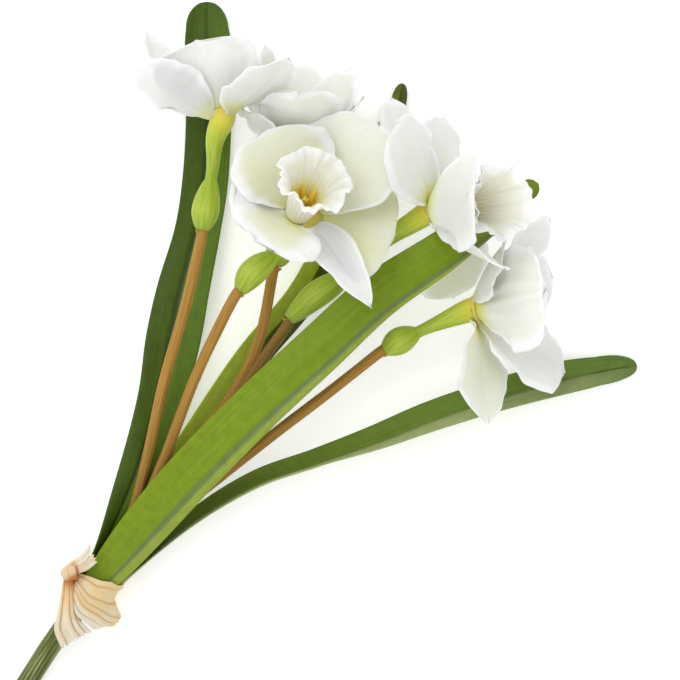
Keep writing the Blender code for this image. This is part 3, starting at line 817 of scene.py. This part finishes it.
def tepal_middle(axes, tepal, look, rng):
    """The middle surface of a tepal, from its claw to its tip, and its places across and along."""
    steps = TEPAL_ROWS * STEPS_PER_ROW
    outward = axes.outward(tepal.roll)
    tangent = axes.outward(tepal.roll + 90)
    share = np.linspace(0, 1, steps + 1)
    claw = ease(share / CLAW_SHARE)
    angle = np.radians(CLAW_ANGLE + (tepal.opening - CLAW_ANGLE) * claw + tepal.bend * ease(share) * 1.5)
    angle += radians(look.curl * 0.6) * ease((share - 0.82) / 0.18)
    along = np.outer(np.cos(angle), axes.axis) + np.outer(np.sin(angle), outward)
    step = tepal.length / steps
    start = axes.throat + outward * TEPAL_ROOT_RADIUS - axes.axis * LAYER_STEP * tepal.layer
    path = start + np.vstack([np.zeros(3), np.cumsum(along[:-1], axis=0)]) * step
    radius = TEPAL_ROOT_RADIUS + np.concatenate([[0], np.cumsum(np.sin(angle[:-1]))]) * step
    picked = slice(None, None, STEPS_PER_ROW)
    share, angle, path, radius = share[picked], angle[picked], path[picked], radius[picked]
    # the foot runs on inwards, so that it grows out of the tube
    foot = FOOT_LENGTH * np.arange(FOOT_ROWS, 0, -1) / FOOT_ROWS
    path = np.vstack([path[0] - np.outer(foot, along[0]), path])
    radius = np.concatenate([radius[0] - foot * sin(angle[0]), radius])
    share = np.concatenate([np.zeros(FOOT_ROWS), share])
    angle = np.concatenate([np.full(FOOT_ROWS, angle[0]), angle])

    twist = np.radians(tepal.twist) * ease(share)[:, None]
    inner = np.outer(np.sin(angle), axes.axis) - np.outer(np.cos(angle), outward)
    across = tangent * np.cos(twist) + inner * np.sin(twist)
    lift = inner * np.cos(twist) - tangent * np.sin(twist)
    half = np.maximum(tepal.width * look.broad / 2 * tepal_outline(share, look.tip), LEAST_HALF_WIDTH)
    half[:FOOT_ROWS] *= np.linspace(*FOOT_TAPER, FOOT_ROWS)
    wrap = half * np.maximum(np.cos(angle), 0) / np.maximum(radius, 1.0)
    cup = np.minimum(wrap, MOST_WRAP) * (1 - look.flat * ease(share * 6))
    cup = cup + np.radians(tepal.cup) * ease(share * 2) * (1 - look.flat)

    v = np.linspace(-1, 1, TEPAL_COLUMNS + 1)
    middle = TEPAL_COLUMNS // 2
    rim = ease((np.abs(v) - CURL_FROM) / (1 - CURL_FROM))
    curl = radians(look.curl) * ease(share * 2.5)
    turn = np.outer(cup, v) - np.outer(curl, np.sign(v) * rim)
    gap = 2 / TEPAL_COLUMNS
    place = []
    for slope in (np.cos(turn), np.sin(turn)):
        sums = np.cumsum((slope[:, 1:] + slope[:, :-1]) / 2 * gap, axis=1)
        sums = np.hstack([np.zeros((len(share), 1)), sums])
        place.append((sums - sums[:, middle:middle + 1]) * half[:, None])
    grid = path[:, None] + across[:, None] * place[0][..., None] + lift[:, None] * place[1][..., None]

    s, w = share[:, None], v[None, :]
    grid = grid + sheet_normals(grid, False) * tepal_relief(look, s, w, rng)[..., None]
    return grid, s, w


class MESH_OT_daffodil_tepals(Operator):
    """Build the thirty petals"""

    bl_idname = "mesh.daffodil_tepals"
    bl_label = "Petals"

    def execute(self, context):
        surface = petal_surface()
        thick = sizes()
        for order, (label, flower) in enumerate(FLOWERS.items()):
            axes = Axes(flower)
            for number, tepal in enumerate(flower.tepals, start=1):
                rng = np.random.default_rng(100 * order + number)
                look = TEPAL_LOOKS.get((label, number), FLOWER_LOOKS[label])
                middle, s, w = tepal_middle(axes, tepal, look, rng)
                edge = np.maximum(np.abs(w) ** 4, ease((s - 0.9) / 0.1))
                thin = thick["tepal"] + (thick["rim"] - thick["tepal"]) * edge
                # Painted highlight: a band along the rim and over the tip, whitened where it catches the
                # light.
                rim = ease((np.maximum(np.abs(w), s ** 3) - 1 + look.rim) / (0.7 * look.rim))
                # Painted shade inside the petal, strongest by the claw and fading towards the rim and the
                # tip; the outer face gets a share of it.
                cream = look.cream * (1 - 0.85 * rim) * (1 - 0.35 * ease((s - 0.4) / 0.5))
                foot = look.claw * (1 - ease((s - 0.02) / 0.26)) * (0.6 + 0.4 * np.cos(w * pi * 0.5))
                streak = 0.25 * look.claw * bell(w, 0, 0.1) * (1 - s) ** 2
                made = Piece()
                made.add_sheet(
                    middle, thin, cream=(cream, look.blush * cream / max(look.cream, 0.05)),
                    claw=np.clip(foot + streak, 0, 1), rim=0.8 * rim,
                )
                node = f"{label}_flower_tepal_{number}"
                made.finish(f"petal_{label}_{number}", [node], "petals", surface)
        return {"FINISHED"}


# The fineness of a trumpet, the counts of its flutes and of its coarse and fine frills, and how far its
# lip turns out.
CORONA_ROWS = 44
CORONA_SIDES = 192
CORONA_FLUTES = 24
CORONA_FRILLS = (20, 13)
CORONA_LIP = 1.1

# How strong the yellow is in each throat.
THROAT_GLOW = {"left": 0.8, "front": 0.95, "back": 0.8, "middle": 0.05, "right": 0.7}


class MESH_OT_daffodil_trumpets(Operator):
    """Build the five frilled trumpets"""

    bl_idname = "mesh.daffodil_trumpets"
    bl_label = "Trumpets"

    def execute(self, context):
        surface = trumpet_surface()
        wall = sizes()["corona"]
        for label, flower, axes, rng in flowers(SEEDS["trumpets"]):
            axes = axes.leaned(*TRUMPET_LEAN.get(label, UPRIGHT))
            s = down(CORONA_ROWS + 1)
            turn = np.arange(CORONA_SIDES)[None, :] * 360 / CORONA_SIDES
            angle = np.radians(turn)
            phase = rng.uniform(0, 2 * pi, 3)
            flare = 0.45 * s + 0.55 * s ** 3
            radius = CORONA_ROOT_RADIUS + (CORONA_MOUTH_RADIUS - CORONA_ROOT_RADIUS) * flare
            height = CORONA_ROOT_HEIGHT + flower.corona * s ** 0.9
            ruffle = CORONA_RUFFLE * np.cos(angle * CORONA_LOBES) * s ** 3
            frill = 0.75 * np.cos(CORONA_FRILLS[0] * angle + phase[0])
            frill = frill + 0.45 * np.cos(CORONA_FRILLS[1] * angle + phase[1])
            frill = frill * s ** 5 + 0.5 * np.cos(3 * angle + phase[2]) * s ** 3
            flute = 0.28 * np.cos(CORONA_FLUTES * angle) * ease(s * 3) * (1 - 0.4 * s)
            lip = CORONA_LIP * ease((s - 0.84) / 0.16)
            radius = radius + ruffle + 0.5 * frill + flute + lip
            height = height - ruffle - frill - 0.7 * lip
            middle = axes.at(np.broadcast_to(turn, radius.shape), radius, height)
            deep = THROAT_GLOW[label] * (1 - ease((s - 0.1) / 0.58))
            outside = 0.35 * (1 - ease(s / 0.35))
            # painted highlight along the lip
            rim = 0.85 * ease((s - 0.86) / 0.1)
            made = Piece()
            inward = (sheet_normals(middle, True) * -axes.outward(turn)).sum() > 0
            paint = (deep, outside) if inward else (outside, deep)
            made.add_sheet(middle, wall * (1 - 0.4 * s), closed=True, depth=paint, rim=rim)
            made.finish(f"trumpet_{label}", [f"{label}_flower_corona"], "trumpets", surface)
        return {"FINISHED"}


FILAMENT_SIDES = 10
ANTHER_SIDES = 12
STYLE_LOBES = 3


class MESH_OT_daffodil_stamens(Operator):
    """Build the stamens and the style of each flower"""

    bl_idname = "mesh.daffodil_stamens"
    bl_label = "Stamens"

    def execute(self, context):
        surface = stamen_surface()
        for label, _, axes, rng in flowers(SEEDS["stamens"]):
            axes = axes.leaned(*TRUMPET_LEAN.get(label, UPRIGHT))
            fan, plump = STAMEN_SPREAD.get(label, PLAIN_SPREAD)
            made = Piece()
            for index in range(STAMEN_COUNT):
                turn = 360 * (index + 0.5) / STAMEN_COUNT + rng.uniform(-8, 8)
                lean = rng.uniform(-0.3, 0.5)
                route = axes.route(5, (turn, 1.2, -0.3), (turn, 2.0, 2.6), (turn, 2.7 + lean, 5.2))
                made.add_tube(route, 0.4, FILAMENT_SIDES, pollen=0.4)
                base = 5.0 + rng.uniform(-0.6, 1.2)
                route = axes.route(
                    8, (turn, 2.5 + lean, base - 1.0), (turn, 3.4 + lean, base + 2.8),
                    (turn + rng.uniform(-9, 9), fan + lean, base + 7.4),
                )
                ring = np.cos(turns(ANTHER_SIDES)[None, :]) ** 2
                share = np.clip(down(len(route)) * 0.97 + 0.015, 0, 1)
                swell = np.maximum(np.sin(pi * share), 0) ** 0.45
                made.add_tube(route, (0.65 + 0.45 * ring) * swell * plump, ANTHER_SIDES, pollen=1.0)
            route = axes.route(8, (0, 0, -0.4), (0, 0, 5.0), (30, 0.3, 11.2))
            made.add_tube(route, np.linspace(0.75, 0.5, len(route)), FILAMENT_SIDES, pollen=0.15)
            for index in range(STYLE_LOBES):
                turn = 360 / STYLE_LOBES * index + 30
                route = axes.route(4, (turn, 0.2, 10.8), (turn, 0.6, 11.5), (turn, 1.2, 11.7))
                made.add_tube(route, np.linspace(0.5, 0.65, len(route)), FILAMENT_SIDES, pollen=0.25)
            made.finish(f"stamens_{label}", [f"{label}_flower_stamens"], "stamens", surface)
        return {"FINISHED"}


TUBE_SIDES = 36

# The flared bell that carries the tube on under the petals' feet: heights and widenings.
TUBE_BELL = np.array(((-1.6, 0.5), (-0.9, 1.2), (-0.3, 2.1)))


class MESH_OT_daffodil_tubes(Operator):
    """Build the ovary and tube behind each flower"""

    bl_idname = "mesh.daffodil_tubes"
    bl_label = "Ovaries and tubes"

    def execute(self, context):
        surface = tube_surface()
        for label, flower, axes, _ in flowers():
            route = smooth_route([*flower.tube, axes.throat - axes.axis * TUBE_END_BELOW], 18)
            share = np.linspace(0, 1, len(route))
            route = np.vstack([route, axes.throat + np.outer(TUBE_BELL[:, 0], axes.axis)])
            swell = OVARY_SWELL * np.sin(pi * np.minimum(share / OVARY_SHARE, 1.0)).clip(0) ** 0.8
            beyond = ease((share - OVARY_SHARE) / (1 - OVARY_SHARE))
            widening = (TUBE_END_RADIUS - TUBE_NECK_RADIUS) * beyond
            turn = turns(TUBE_SIDES)
            three_sided = np.outer(swell / OVARY_SWELL, np.cos(3 * turn)) * 0.22
            ribbed = 0.06 * np.cos(12 * turn)[None, :] * (0.4 + 0.6 * ease(share)[:, None])
            radii = (TUBE_NECK_RADIUS + swell + widening)[:, None] + three_sided + ribbed
            radii = np.vstack([radii, radii[-1] + TUBE_BELL[:, 1:]])
            made = Piece()
            shade = 0.5 * bell(share, OVARY_SHARE, 0.07)
            shade = np.concatenate([shade, np.zeros(len(TUBE_BELL))])
            made.add_tube(route, radii, TUBE_SIDES, end_normal=axes.axis, shade=shade)
            made.finish(f"ovary_{label}", [f"{label}_flower_tube"], "tubes", surface)
        return {"FINISHED"}


STALK_SIDES = 28
COLLAR_LENGTH = 5.0

# How dark each flower's stalk is.
STALK_TONES = {"left": 0.0, "front": 0.05, "back": 0.05, "middle": 0.55, "right": 0.1}


class MESH_OT_daffodil_stalks(Operator):
    """Build the five flower stalks"""

    bl_idname = "mesh.daffodil_stalks"
    bl_label = "Flower stalks"

    def execute(self, context):
        surface = stalk_surface()
        for label, flower, _, rng in flowers(SEEDS["stalks"]):
            route = smooth_route([*flower.pedicel, flower.tube[0]], 20)
            share = np.linspace(0, 1, len(route))
            length = np.linalg.norm(np.diff(route, axis=0), axis=1).sum()
            to_end = (1 - share) * length - 1.0
            collar = (COLLAR_RADIUS - PEDICEL_RADIUS) * (1 - 0.5 * ease(to_end / 2.0))
            collar = collar * (to_end < COLLAR_LENGTH)
            turn = turns(STALK_SIDES)[None, :]
            waves = ripples(rng, np.sin(turn) * 0.3, share[:, None], 5.0)
            ridges = 0.08 * np.cos(9 * turn + 0.6) + 0.05 * waves
            radii = (PEDICEL_RADIUS - 0.05 + collar)[:, None] + ridges
            made = Piece()
            pale_end = 0.8 * (1 - ease(to_end / COLLAR_LENGTH))
            tone = np.clip(STALK_TONES[label] + 0.35 * (1 - ease(share / 0.5)) - pale_end, 0, 1)
            made.add_tube(route, radii, STALK_SIDES, tone=tone)
            made.finish(f"stalk_{label}", [f"{label}_flower_pedicel"], "pedicels", surface)
        return {"FINISHED"}


LEAF_STEPS = 16
LEAF_COLUMNS = 32

# How long each leaf's rounded tip is.
LEAF_TIPS = {"left": 11.0, "front": 5.0, "right": 17.0, "inner": 8.0}


def round_tip(half, route, reach):
    """Half widths whose last reach is rounded off along the route."""
    steps = np.linalg.norm(np.diff(route, axis=0), axis=1)
    to_tip = np.concatenate([np.cumsum(steps[::-1])[::-1], [0.0]])
    widest = np.interp(reach, to_tip[::-1], half[::-1])
    return np.where(to_tip < reach, widest * np.sqrt(np.clip(1 - (1 - to_tip / reach) ** 2, 0, 1)), half)


class MESH_OT_daffodil_leaves(Operator):
    """Build the four strap leaves"""

    bl_idname = "mesh.daffodil_leaves"
    bl_label = "Leaves"

    def execute(self, context):
        thick = sizes()
        for order, (label, ribs) in enumerate(LEAVES.items()):
            rng = np.random.default_rng(SEEDS["leaves"] + order)
            route = smooth_route([(rib.x, rib.y, rib.z) for rib in ribs], LEAF_STEPS)
            shape = smooth_route([(rib.half, rib.turn, 0) for rib in ribs], LEAF_STEPS)
            tangent = unit(np.gradient(route, axis=0))
            level = unit(np.cross(UP, tangent))
            face = np.cross(tangent, level)
            turn = np.radians(shape[:, 1])[:, None]
            across = level * np.cos(turn) + face * np.sin(turn)
            lift = face * np.cos(turn) - level * np.sin(turn)
            half = np.maximum(round_tip(shape[:, 0], route, LEAF_TIPS[label]), 0.4)
            fold = radians(LEAF_FOLD[label])
            face_plan = LEAF_FACES[label]
            s = down(len(route))
            w = np.linspace(-1, 1, LEAF_COLUMNS + 1)[None, :]
            soft = np.sqrt(w ** 2 + 0.05 ** 2) - 0.05
            out = w * cos(fold) * half[:, None]
            rise = soft * sin(fold) * half[:, None]
            waver = 0.5 * ripples(rng, w * 0.2, s, 4.0) * np.abs(w) ** 2
            rib = face_plan.rib_at + (face_plan.rib_end - face_plan.rib_at) * s
            furrow = bell(w, rib, face_plan.rib_half * 0.7)
            veins = 0.05 * np.cos(2 * pi * 7 * w) - 0.45 * furrow
            rise = rise + (waver + veins) * ease(half / 4)[:, None]
            middle = route[:, None] + across[:, None] * out[..., None] + lift[:, None] * rise[..., None]
            thin = thick["leaf"] + (thick["leaf_rim"] - thick["leaf"]) * w ** 2
            made = Piece()
            made.add_sheet(middle, thin)
            made.finish(f"leaf_{label}", [f"{label}_leaf"], "leaves", leaf_surface(label))
        return {"FINISHED"}


SCAPE_SIDES = 40
SCAPE_FLUTES = 10
SCAPE_FLUTE_DEPTH = 0.15
SCAPE_BOW = 2.2


class MESH_OT_daffodil_scape(Operator):
    """Build the main stem with its plainly cut end"""

    bl_idname = "mesh.daffodil_scape"
    bl_label = "Main stem"

    def execute(self, context):
        route = smooth_route(SCAPE_ROUTE, 24)
        # it bows a little towards the left leaf where it leaves the tie
        route[:, 1] += SCAPE_BOW * ease((6.0 - route[:, 0]) / 40.0)
        flutes = SCAPE_FLUTE_DEPTH * np.cos(SCAPE_FLUTES * turns(SCAPE_SIDES))[None, :]
        radii = SCAPE_RADIUS - SCAPE_FLUTE_DEPTH + flutes
        made = Piece()
        made.add_tube(route, radii, SCAPE_SIDES)
        made.finish("main_stem", ["scape"], "scape", scape_surface())
        return {"FINISHED"}


# A raffia ribbon's two edges, from where it leaves the knot, its rows to a stretch and its columns, the
# height of its arch, and how far and in how many waves its end is torn.
Ribbon = namedtuple("Ribbon", "near far rows columns arch torn waves")
RIBBONS = {
    "tail": Ribbon(
        ((-1.6, 12.2, 19.5), (-9, 7.6, 18.5), (-15.6, 4.2, 17), (-21.3, 1.2, 15.5), (-25.5, -5.4, 13)),
        (
            (-0.2, 8.8, 20.6), (-5.4, 3.4, 21.2), (-10.2, -2.4, 20.2), (-11.8, -6.6, 18.4),
            (-12.4, -10.2, 15.5),
        ), 16, 72, 0.9, 0.5, 11.0,
    ),
    "wrap": Ribbon(
        ((0.1, 14.6, 18.4), (-1.2, 13.4, 22.0), (-2.4, 11.5, 22.6), (-2.2, 9.6, 20.2)),
        ((6.0, 13.1, 20.0), (5.0, 11.4, 24.4), (3.6, 9.4, 24.6), (1.4, 7.4, 21.6)),
        12, 32, 0.8, 0.0, 0.0,
    ),
    "long": Ribbon(
        ((0.6, 14.4, 21.2), (5.6, 13.2, 22.8), (9.8, 12.2, 23.8), (14.6, 12.0, 24.4)),
        ((0.4, 12.2, 22.4), (4.8, 10.9, 24.6), (8.3, 9.6, 25.2), (12.0, 9.4, 24.8)),
        12, 40, 0.5, 0.7, 5.0,
    ),
    "short": Ribbon(
        ((0.4, 12.4, 22.0), (4.8, 11.1, 24.2), (8.3, 9.9, 24.8), (13.2, 8.8, 24.6)),
        ((-0.6, 10.6, 21.0), (3.2, 8.7, 22.6), (6.4, 6.7, 23.2), (11.6, 5.6, 24.2)),
        12, 40, 0.5, 0.7, 5.0,
    ),
}
# How bleached each stub is.
STUB_BLEACH = {"long": 0.9, "short": 0.35}

# The fineness of the band and of the knot, and the share of a tuck over which it rises.
BAND_ROWS = 96
BAND_SIDES = 144
KNOT_ROWS = 32
KNOT_SIDES = 48
TUCK_RISE = 0.86


def tuck(place):
    """The height of the tucks at a place counted in tucks: each rises slowly and falls sharply."""
    part = place % 1.0
    return np.where(part < TUCK_RISE, part / TUCK_RISE, (1.0 - part) / (1 - TUCK_RISE))


def crease(place, wide=0.06):
    """How deep in a crease a place is, from 0 to 1."""
    return bell((place + 0.5) % 1.0 - 0.5, 0, wide)


def ribbon(name, rng):
    """The sheet of one of the ribbons, arched and torn as its plan says; and its two places."""
    plan = RIBBONS[name]
    near, far = (smooth_route(edge, plan.rows) for edge in (plan.near, plan.far))
    s = down(len(near))
    v = down(plan.columns + 1).T
    grid = near[:, None] * (1 - v)[..., None] + far[:, None] * v[..., None]
    grid = grid + UP * (plan.arch * 4 * v * (1 - v) * ease(s * 3))[..., None]
    if plan.torn:
        pull = unit(grid[-1] - grid[-4])
        grid = grid + pull * (plan.torn * ripples(rng, v, 0.0, plan.waves) * s ** 8)[..., None]
    return grid, s, v


def raffia_band(thick, rng):
    """The band, gathered at the knot and spread on the far side, where its lower half flares out."""
    s = down(BAND_ROWS + 1)
    turn = turns(BAND_SIDES)[None, :]
    away = (1 - np.cos(turn)) / 2
    torn = [0.35 * ripples(rng, turn / (2 * pi), 0.0, 9.0) * away for _ in range(2)]
    front = 1.5 + 8.6 * away + 0.9 * np.sin(turn) ** 2 + torn[0]
    back = -2.6 - 8.6 * np.sin(pi / 2 * np.minimum(1.35 * away ** 1.3, 1)) + 2 * away ** 6 - torn[1]
    flare = 7.6 * (ease((s - 0.3) / 0.3) - 0.45 * ease((s - 0.76) / 0.24))
    tucks = 5.4 * s + 0.35 * np.sin(2 * pi * 1.3 * s + 1.0) + 0.12 * np.sin(3 * turn)
    height = (0.25 + 1.2 * away) * tuck(tucks) * ease(4 * np.sin(turn) + 0.2)
    reach = BAND_REACH + (flare - 2.0) * ease(away) + 0.5 * height
    above = BAND_MIDDLE_HEIGHT + (10.4 + height) * np.sin(turn)
    middle = np.stack([front + (back - front) * s, reach * np.cos(turn), above], axis=-1)
    made = Piece()
    made.add_sheet(
        middle, thick, closed=True, across=s, along=turn / (2 * pi),
        stain=0.9 * bell(away, 0, 0.16) + 0.3 * crease(tucks, 0.22) * (1 - 0.5 * away),
        # painted shade in the tucks' creases, and along the band's back edge by the tail
        crease=np.maximum(
            crease(tucks, 0.08) * (0.9 - 0.65 * ease(away * 1.4)),
            0.85 * ease((s - 0.86) / 0.1) * bell(away, 0.3, 0.12),
        ),
        bleach=0.9 * ease((s - 0.74) / 0.1) * ease((away - 0.25) / 0.2),
    )
    return made


def raffia_tail(thick, rng):
    """The tail, a flat end folded lengthways, whose torn edge runs askew."""
    middle, s, v = ribbon("tail", rng)
    tucks = 3.6 * v + 0.3 * np.sin(2 * pi * v + 0.6) + 0.05 * np.sin(5 * s)
    middle[..., 2] += 0.9 * tuck(tucks) * ease(s * 3)
    made = Piece()
    made.add_sheet(
        middle, thick, across=v, along=s,
        stain=0.95 * (1 - ease(s / 0.4)) + 0.25 * crease(tucks, 0.2),
        # painted shade in the folds' creases, and along the tail's far edge by the band
        crease=np.maximum(
            crease(tucks, 0.08) * (0.9 - 0.6 * ease(s)),
            0.8 * ease((v - 0.86) / 0.1) * bell(s, 0.45, 0.16),
        ),
        bleach=0.7 * ease((s - 0.4) / 0.5),
    )
    return made


def raffia_knot(thick, rng):
    """The knot, a core with one ribbon wrapped over it."""
    s = down(KNOT_ROWS + 1)
    turn = turns(KNOT_SIDES)[None, :]
    polar = pi * (0.02 + 0.96 * s)
    swell = 1.0 + 0.06 * np.cos(5 * turn + 4.0 * s)
    ball = (np.sin(polar) * np.cos(turn), np.sin(polar) * np.sin(turn), np.cos(polar))
    shell = [way * radius * swell for way, radius in zip(ball, KNOT_RADII)]
    shell = np.array(KNOT_CORE) + np.stack(shell, axis=-1)
    made = Piece()
    # The core is painted half-way to the crease shade all over.
    made.add_ball(shell, stain=0.9, crease=0.5, bleach=0.0, across=turn / (2 * pi), along=s)
    middle, s, v = ribbon("wrap", rng)
    tucks = 2.0 * v + 0.1
    middle[..., 2] += 0.5 * tuck(tucks)
    made.add_sheet(
        middle, thick, across=0.3 * v, along=0.3 * s, bleach=0.2,
        # painted shade in the wrap's creases
        stain=0.2 + 0.7 * ease((s - 0.55) / 0.4), crease=0.6 * crease(tucks, 0.05),
    )
    return made


def raffia_stub(name, thick, rng):
    """One of the two short ends that come out of the knot."""
    middle, s, v = ribbon(name, rng)
    tucks = 1.6 * v + 0.3
    middle[..., 2] += 0.4 * tuck(tucks) * ease(s * 2)
    made = Piece()
    made.add_sheet(
        # painted shade in the stub's creases
        middle, thick, across=0.4 * v, along=0.6 * s, crease=0.35 * crease(tucks),
        stain=0.9 * bell(s, 0.32, 0.1), bleach=STUB_BLEACH[name] * ease((s - 0.3) / 0.3),
    )
    return made


class MESH_OT_daffodil_raffia(Operator):
    """Build the raffia tie: its band, tail, knot and two stubs"""

    bl_idname = "mesh.daffodil_raffia"
    bl_label = "Raffia tie"

    def execute(self, context):
        surface = raffia_surface()
        thick = sizes()["raffia"]
        rng = np.random.default_rng(SEEDS["raffia"])
        raffia_band(thick, rng).finish("raffia_wrap", ["raffia_band"], "raffia", surface)
        raffia_tail(thick, rng).finish("raffia_fan", ["raffia_tail"], "raffia", surface)
        raffia_knot(thick, rng).finish("raffia_knob", ["raffia_knot"], "raffia", surface)
        for name in STUB_BLEACH:
            made = raffia_stub(name, thick, rng)
            made.finish(f"raffia_end_{name}", [f"raffia_stub_{name}"], "raffia", surface)
        return {"FINISHED"}


# The camera looks straight down from this place, in millimetres, turned so that the stem runs up to
# the right.
CAMERA_PLACE = (142.85, -11.91, 1163.0)
CAMERA_ROLL = -50.0
CAMERA_LENS = 150.0
CAMERA_SENSOR = 36.0

# Half the floor's side, what the lamps aim at, and each lamp's place and size, in metres; its power is
# in watts.
FLOOR_REACH = 3.0
FLOOR_CORNERS = ((-1, -1), (1, -1), (1, 1), (-1, 1))
FLOOR_GLOW = 0.32
AIM = (0.05, 0.0, 0.03)
LAMPS = {"key": ((0.25, 0.95, 1.25), 1.3, 9.0), "fill": ((-0.9, -0.5, 1.1), 1.4, 3.0)}
WORLD_LIGHT = 0.84


def floor_surface():
    """Matt white acrylic of a softly lit table. The eye sees a plain pale ground with no gloss and weak
    shadows; its tooth, really 0.1 mm, is drawn at 1 mm and kept very faint."""
    made, colour = Surface("Matt lit acrylic"), colours().floor
    return made.finish(
        None, made.clouds(1000.0, 1.0), 0.03, 0.0002, Base_Color=colour, Roughness=0.9, IOR=1.5,
        Specular_IOR_Level=0.1, Emission_Color=colour, Emission_Strength=FLOOR_GLOW,
    )


class SCENE_OT_daffodil_stage(Operator):
    """Lay the floor and set up the camera and the soft lights"""

    bl_idname = "scene.daffodil_stage"
    bl_label = "Stage"

    def execute(self, context):
        scene = context.scene
        mesh = bpy.data.meshes.new("floor")
        corners = [(x * FLOOR_REACH, y * FLOOR_REACH, 0) for x, y in FLOOR_CORNERS]
        mesh.from_pydata(corners, [], [(0, 1, 2, 3)])
        mesh.materials.append(floor_surface())
        floor = bpy.data.objects.new("floor", mesh)
        scene.collection.objects.link(floor)

        lens = bpy.data.cameras.new("camera")
        lens.lens = CAMERA_LENS
        lens.sensor_width = CAMERA_SENSOR
        camera = bpy.data.objects.new("camera", lens)
        camera.location = (np.array(CAMERA_PLACE) + ORIGIN_SHIFT) * MM
        camera.rotation_euler = (0.0, 0.0, radians(CAMERA_ROLL))
        scene.collection.objects.link(camera)
        scene.camera = camera

        for name, (place, size, power) in LAMPS.items():
            lamp = bpy.data.lights.new(name, "AREA")
            lamp.size = size
            lamp.energy = power
            light = bpy.data.objects.new(name, lamp)
            light.location = place
            aim = np.array(AIM) - np.array(place)
            light.rotation_euler = Vector(aim).to_track_quat("-Z", "Y").to_euler()
            scene.collection.objects.link(light)

        world = bpy.data.worlds.new("studio")
        world.use_nodes = True
        background = world.node_tree.nodes["Background"]
        background.inputs["Color"].default_value = linear("#FFFFFF")
        background.inputs["Strength"].default_value = WORLD_LIGHT
        scene.world = world
        scene.view_settings.view_transform = "Standard"
        return {"FINISHED"}


class VIEW3D_PT_daffodils(Panel):
    """List the bunch's sizes, colours and parts"""

    bl_label = "Daffodil bunch"
    bl_space_type = "VIEW_3D"
    bl_region_type = "UI"
    bl_category = "Daffodils"

    def draw(self, context):
        column = self.layout.column(align=True)
        for operator in OPERATORS:
            column.operator(operator.bl_idname, text=operator.bl_label)
        for group, names in (
            (context.scene.daffodil_sizes, BunchSizes.__annotations__),
            (context.scene.daffodil_colours, BunchColours.__annotations__),
        ):
            column = self.layout.column(align=True)
            for name in names:
                column.prop(group, name)


OPERATORS = (
    MESH_OT_daffodil_tepals,
    MESH_OT_daffodil_trumpets,
    MESH_OT_daffodil_stamens,
    MESH_OT_daffodil_tubes,
    MESH_OT_daffodil_stalks,
    MESH_OT_daffodil_leaves,
    MESH_OT_daffodil_scape,
    MESH_OT_daffodil_raffia,
    SCENE_OT_daffodil_stage,
)
CLASSES = (BunchSizes, BunchColours, *OPERATORS, VIEW3D_PT_daffodils)


def register():
    """Register the classes and hang the settings on the scene."""
    for kind in CLASSES:
        bpy.utils.register_class(kind)
    bpy.types.Scene.daffodil_sizes = PointerProperty(type=BunchSizes)
    bpy.types.Scene.daffodil_colours = PointerProperty(type=BunchColours)


def unregister():
    """Take the settings off the scene and unregister the classes."""
    del bpy.types.Scene.daffodil_colours
    del bpy.types.Scene.daffodil_sizes
    for kind in reversed(CLASSES):
        bpy.utils.unregister_class(kind)


def main():
    """Build every part in order."""
    register()
    bpy.ops.mesh.daffodil_tepals()
    bpy.ops.mesh.daffodil_trumpets()
    bpy.ops.mesh.daffodil_stamens()
    bpy.ops.mesh.daffodil_tubes()
    bpy.ops.mesh.daffodil_stalks()
    bpy.ops.mesh.daffodil_leaves()
    bpy.ops.mesh.daffodil_scape()
    bpy.ops.mesh.daffodil_raffia()
    bpy.ops.scene.daffodil_stage()


if __name__ == "__main__":
    main()
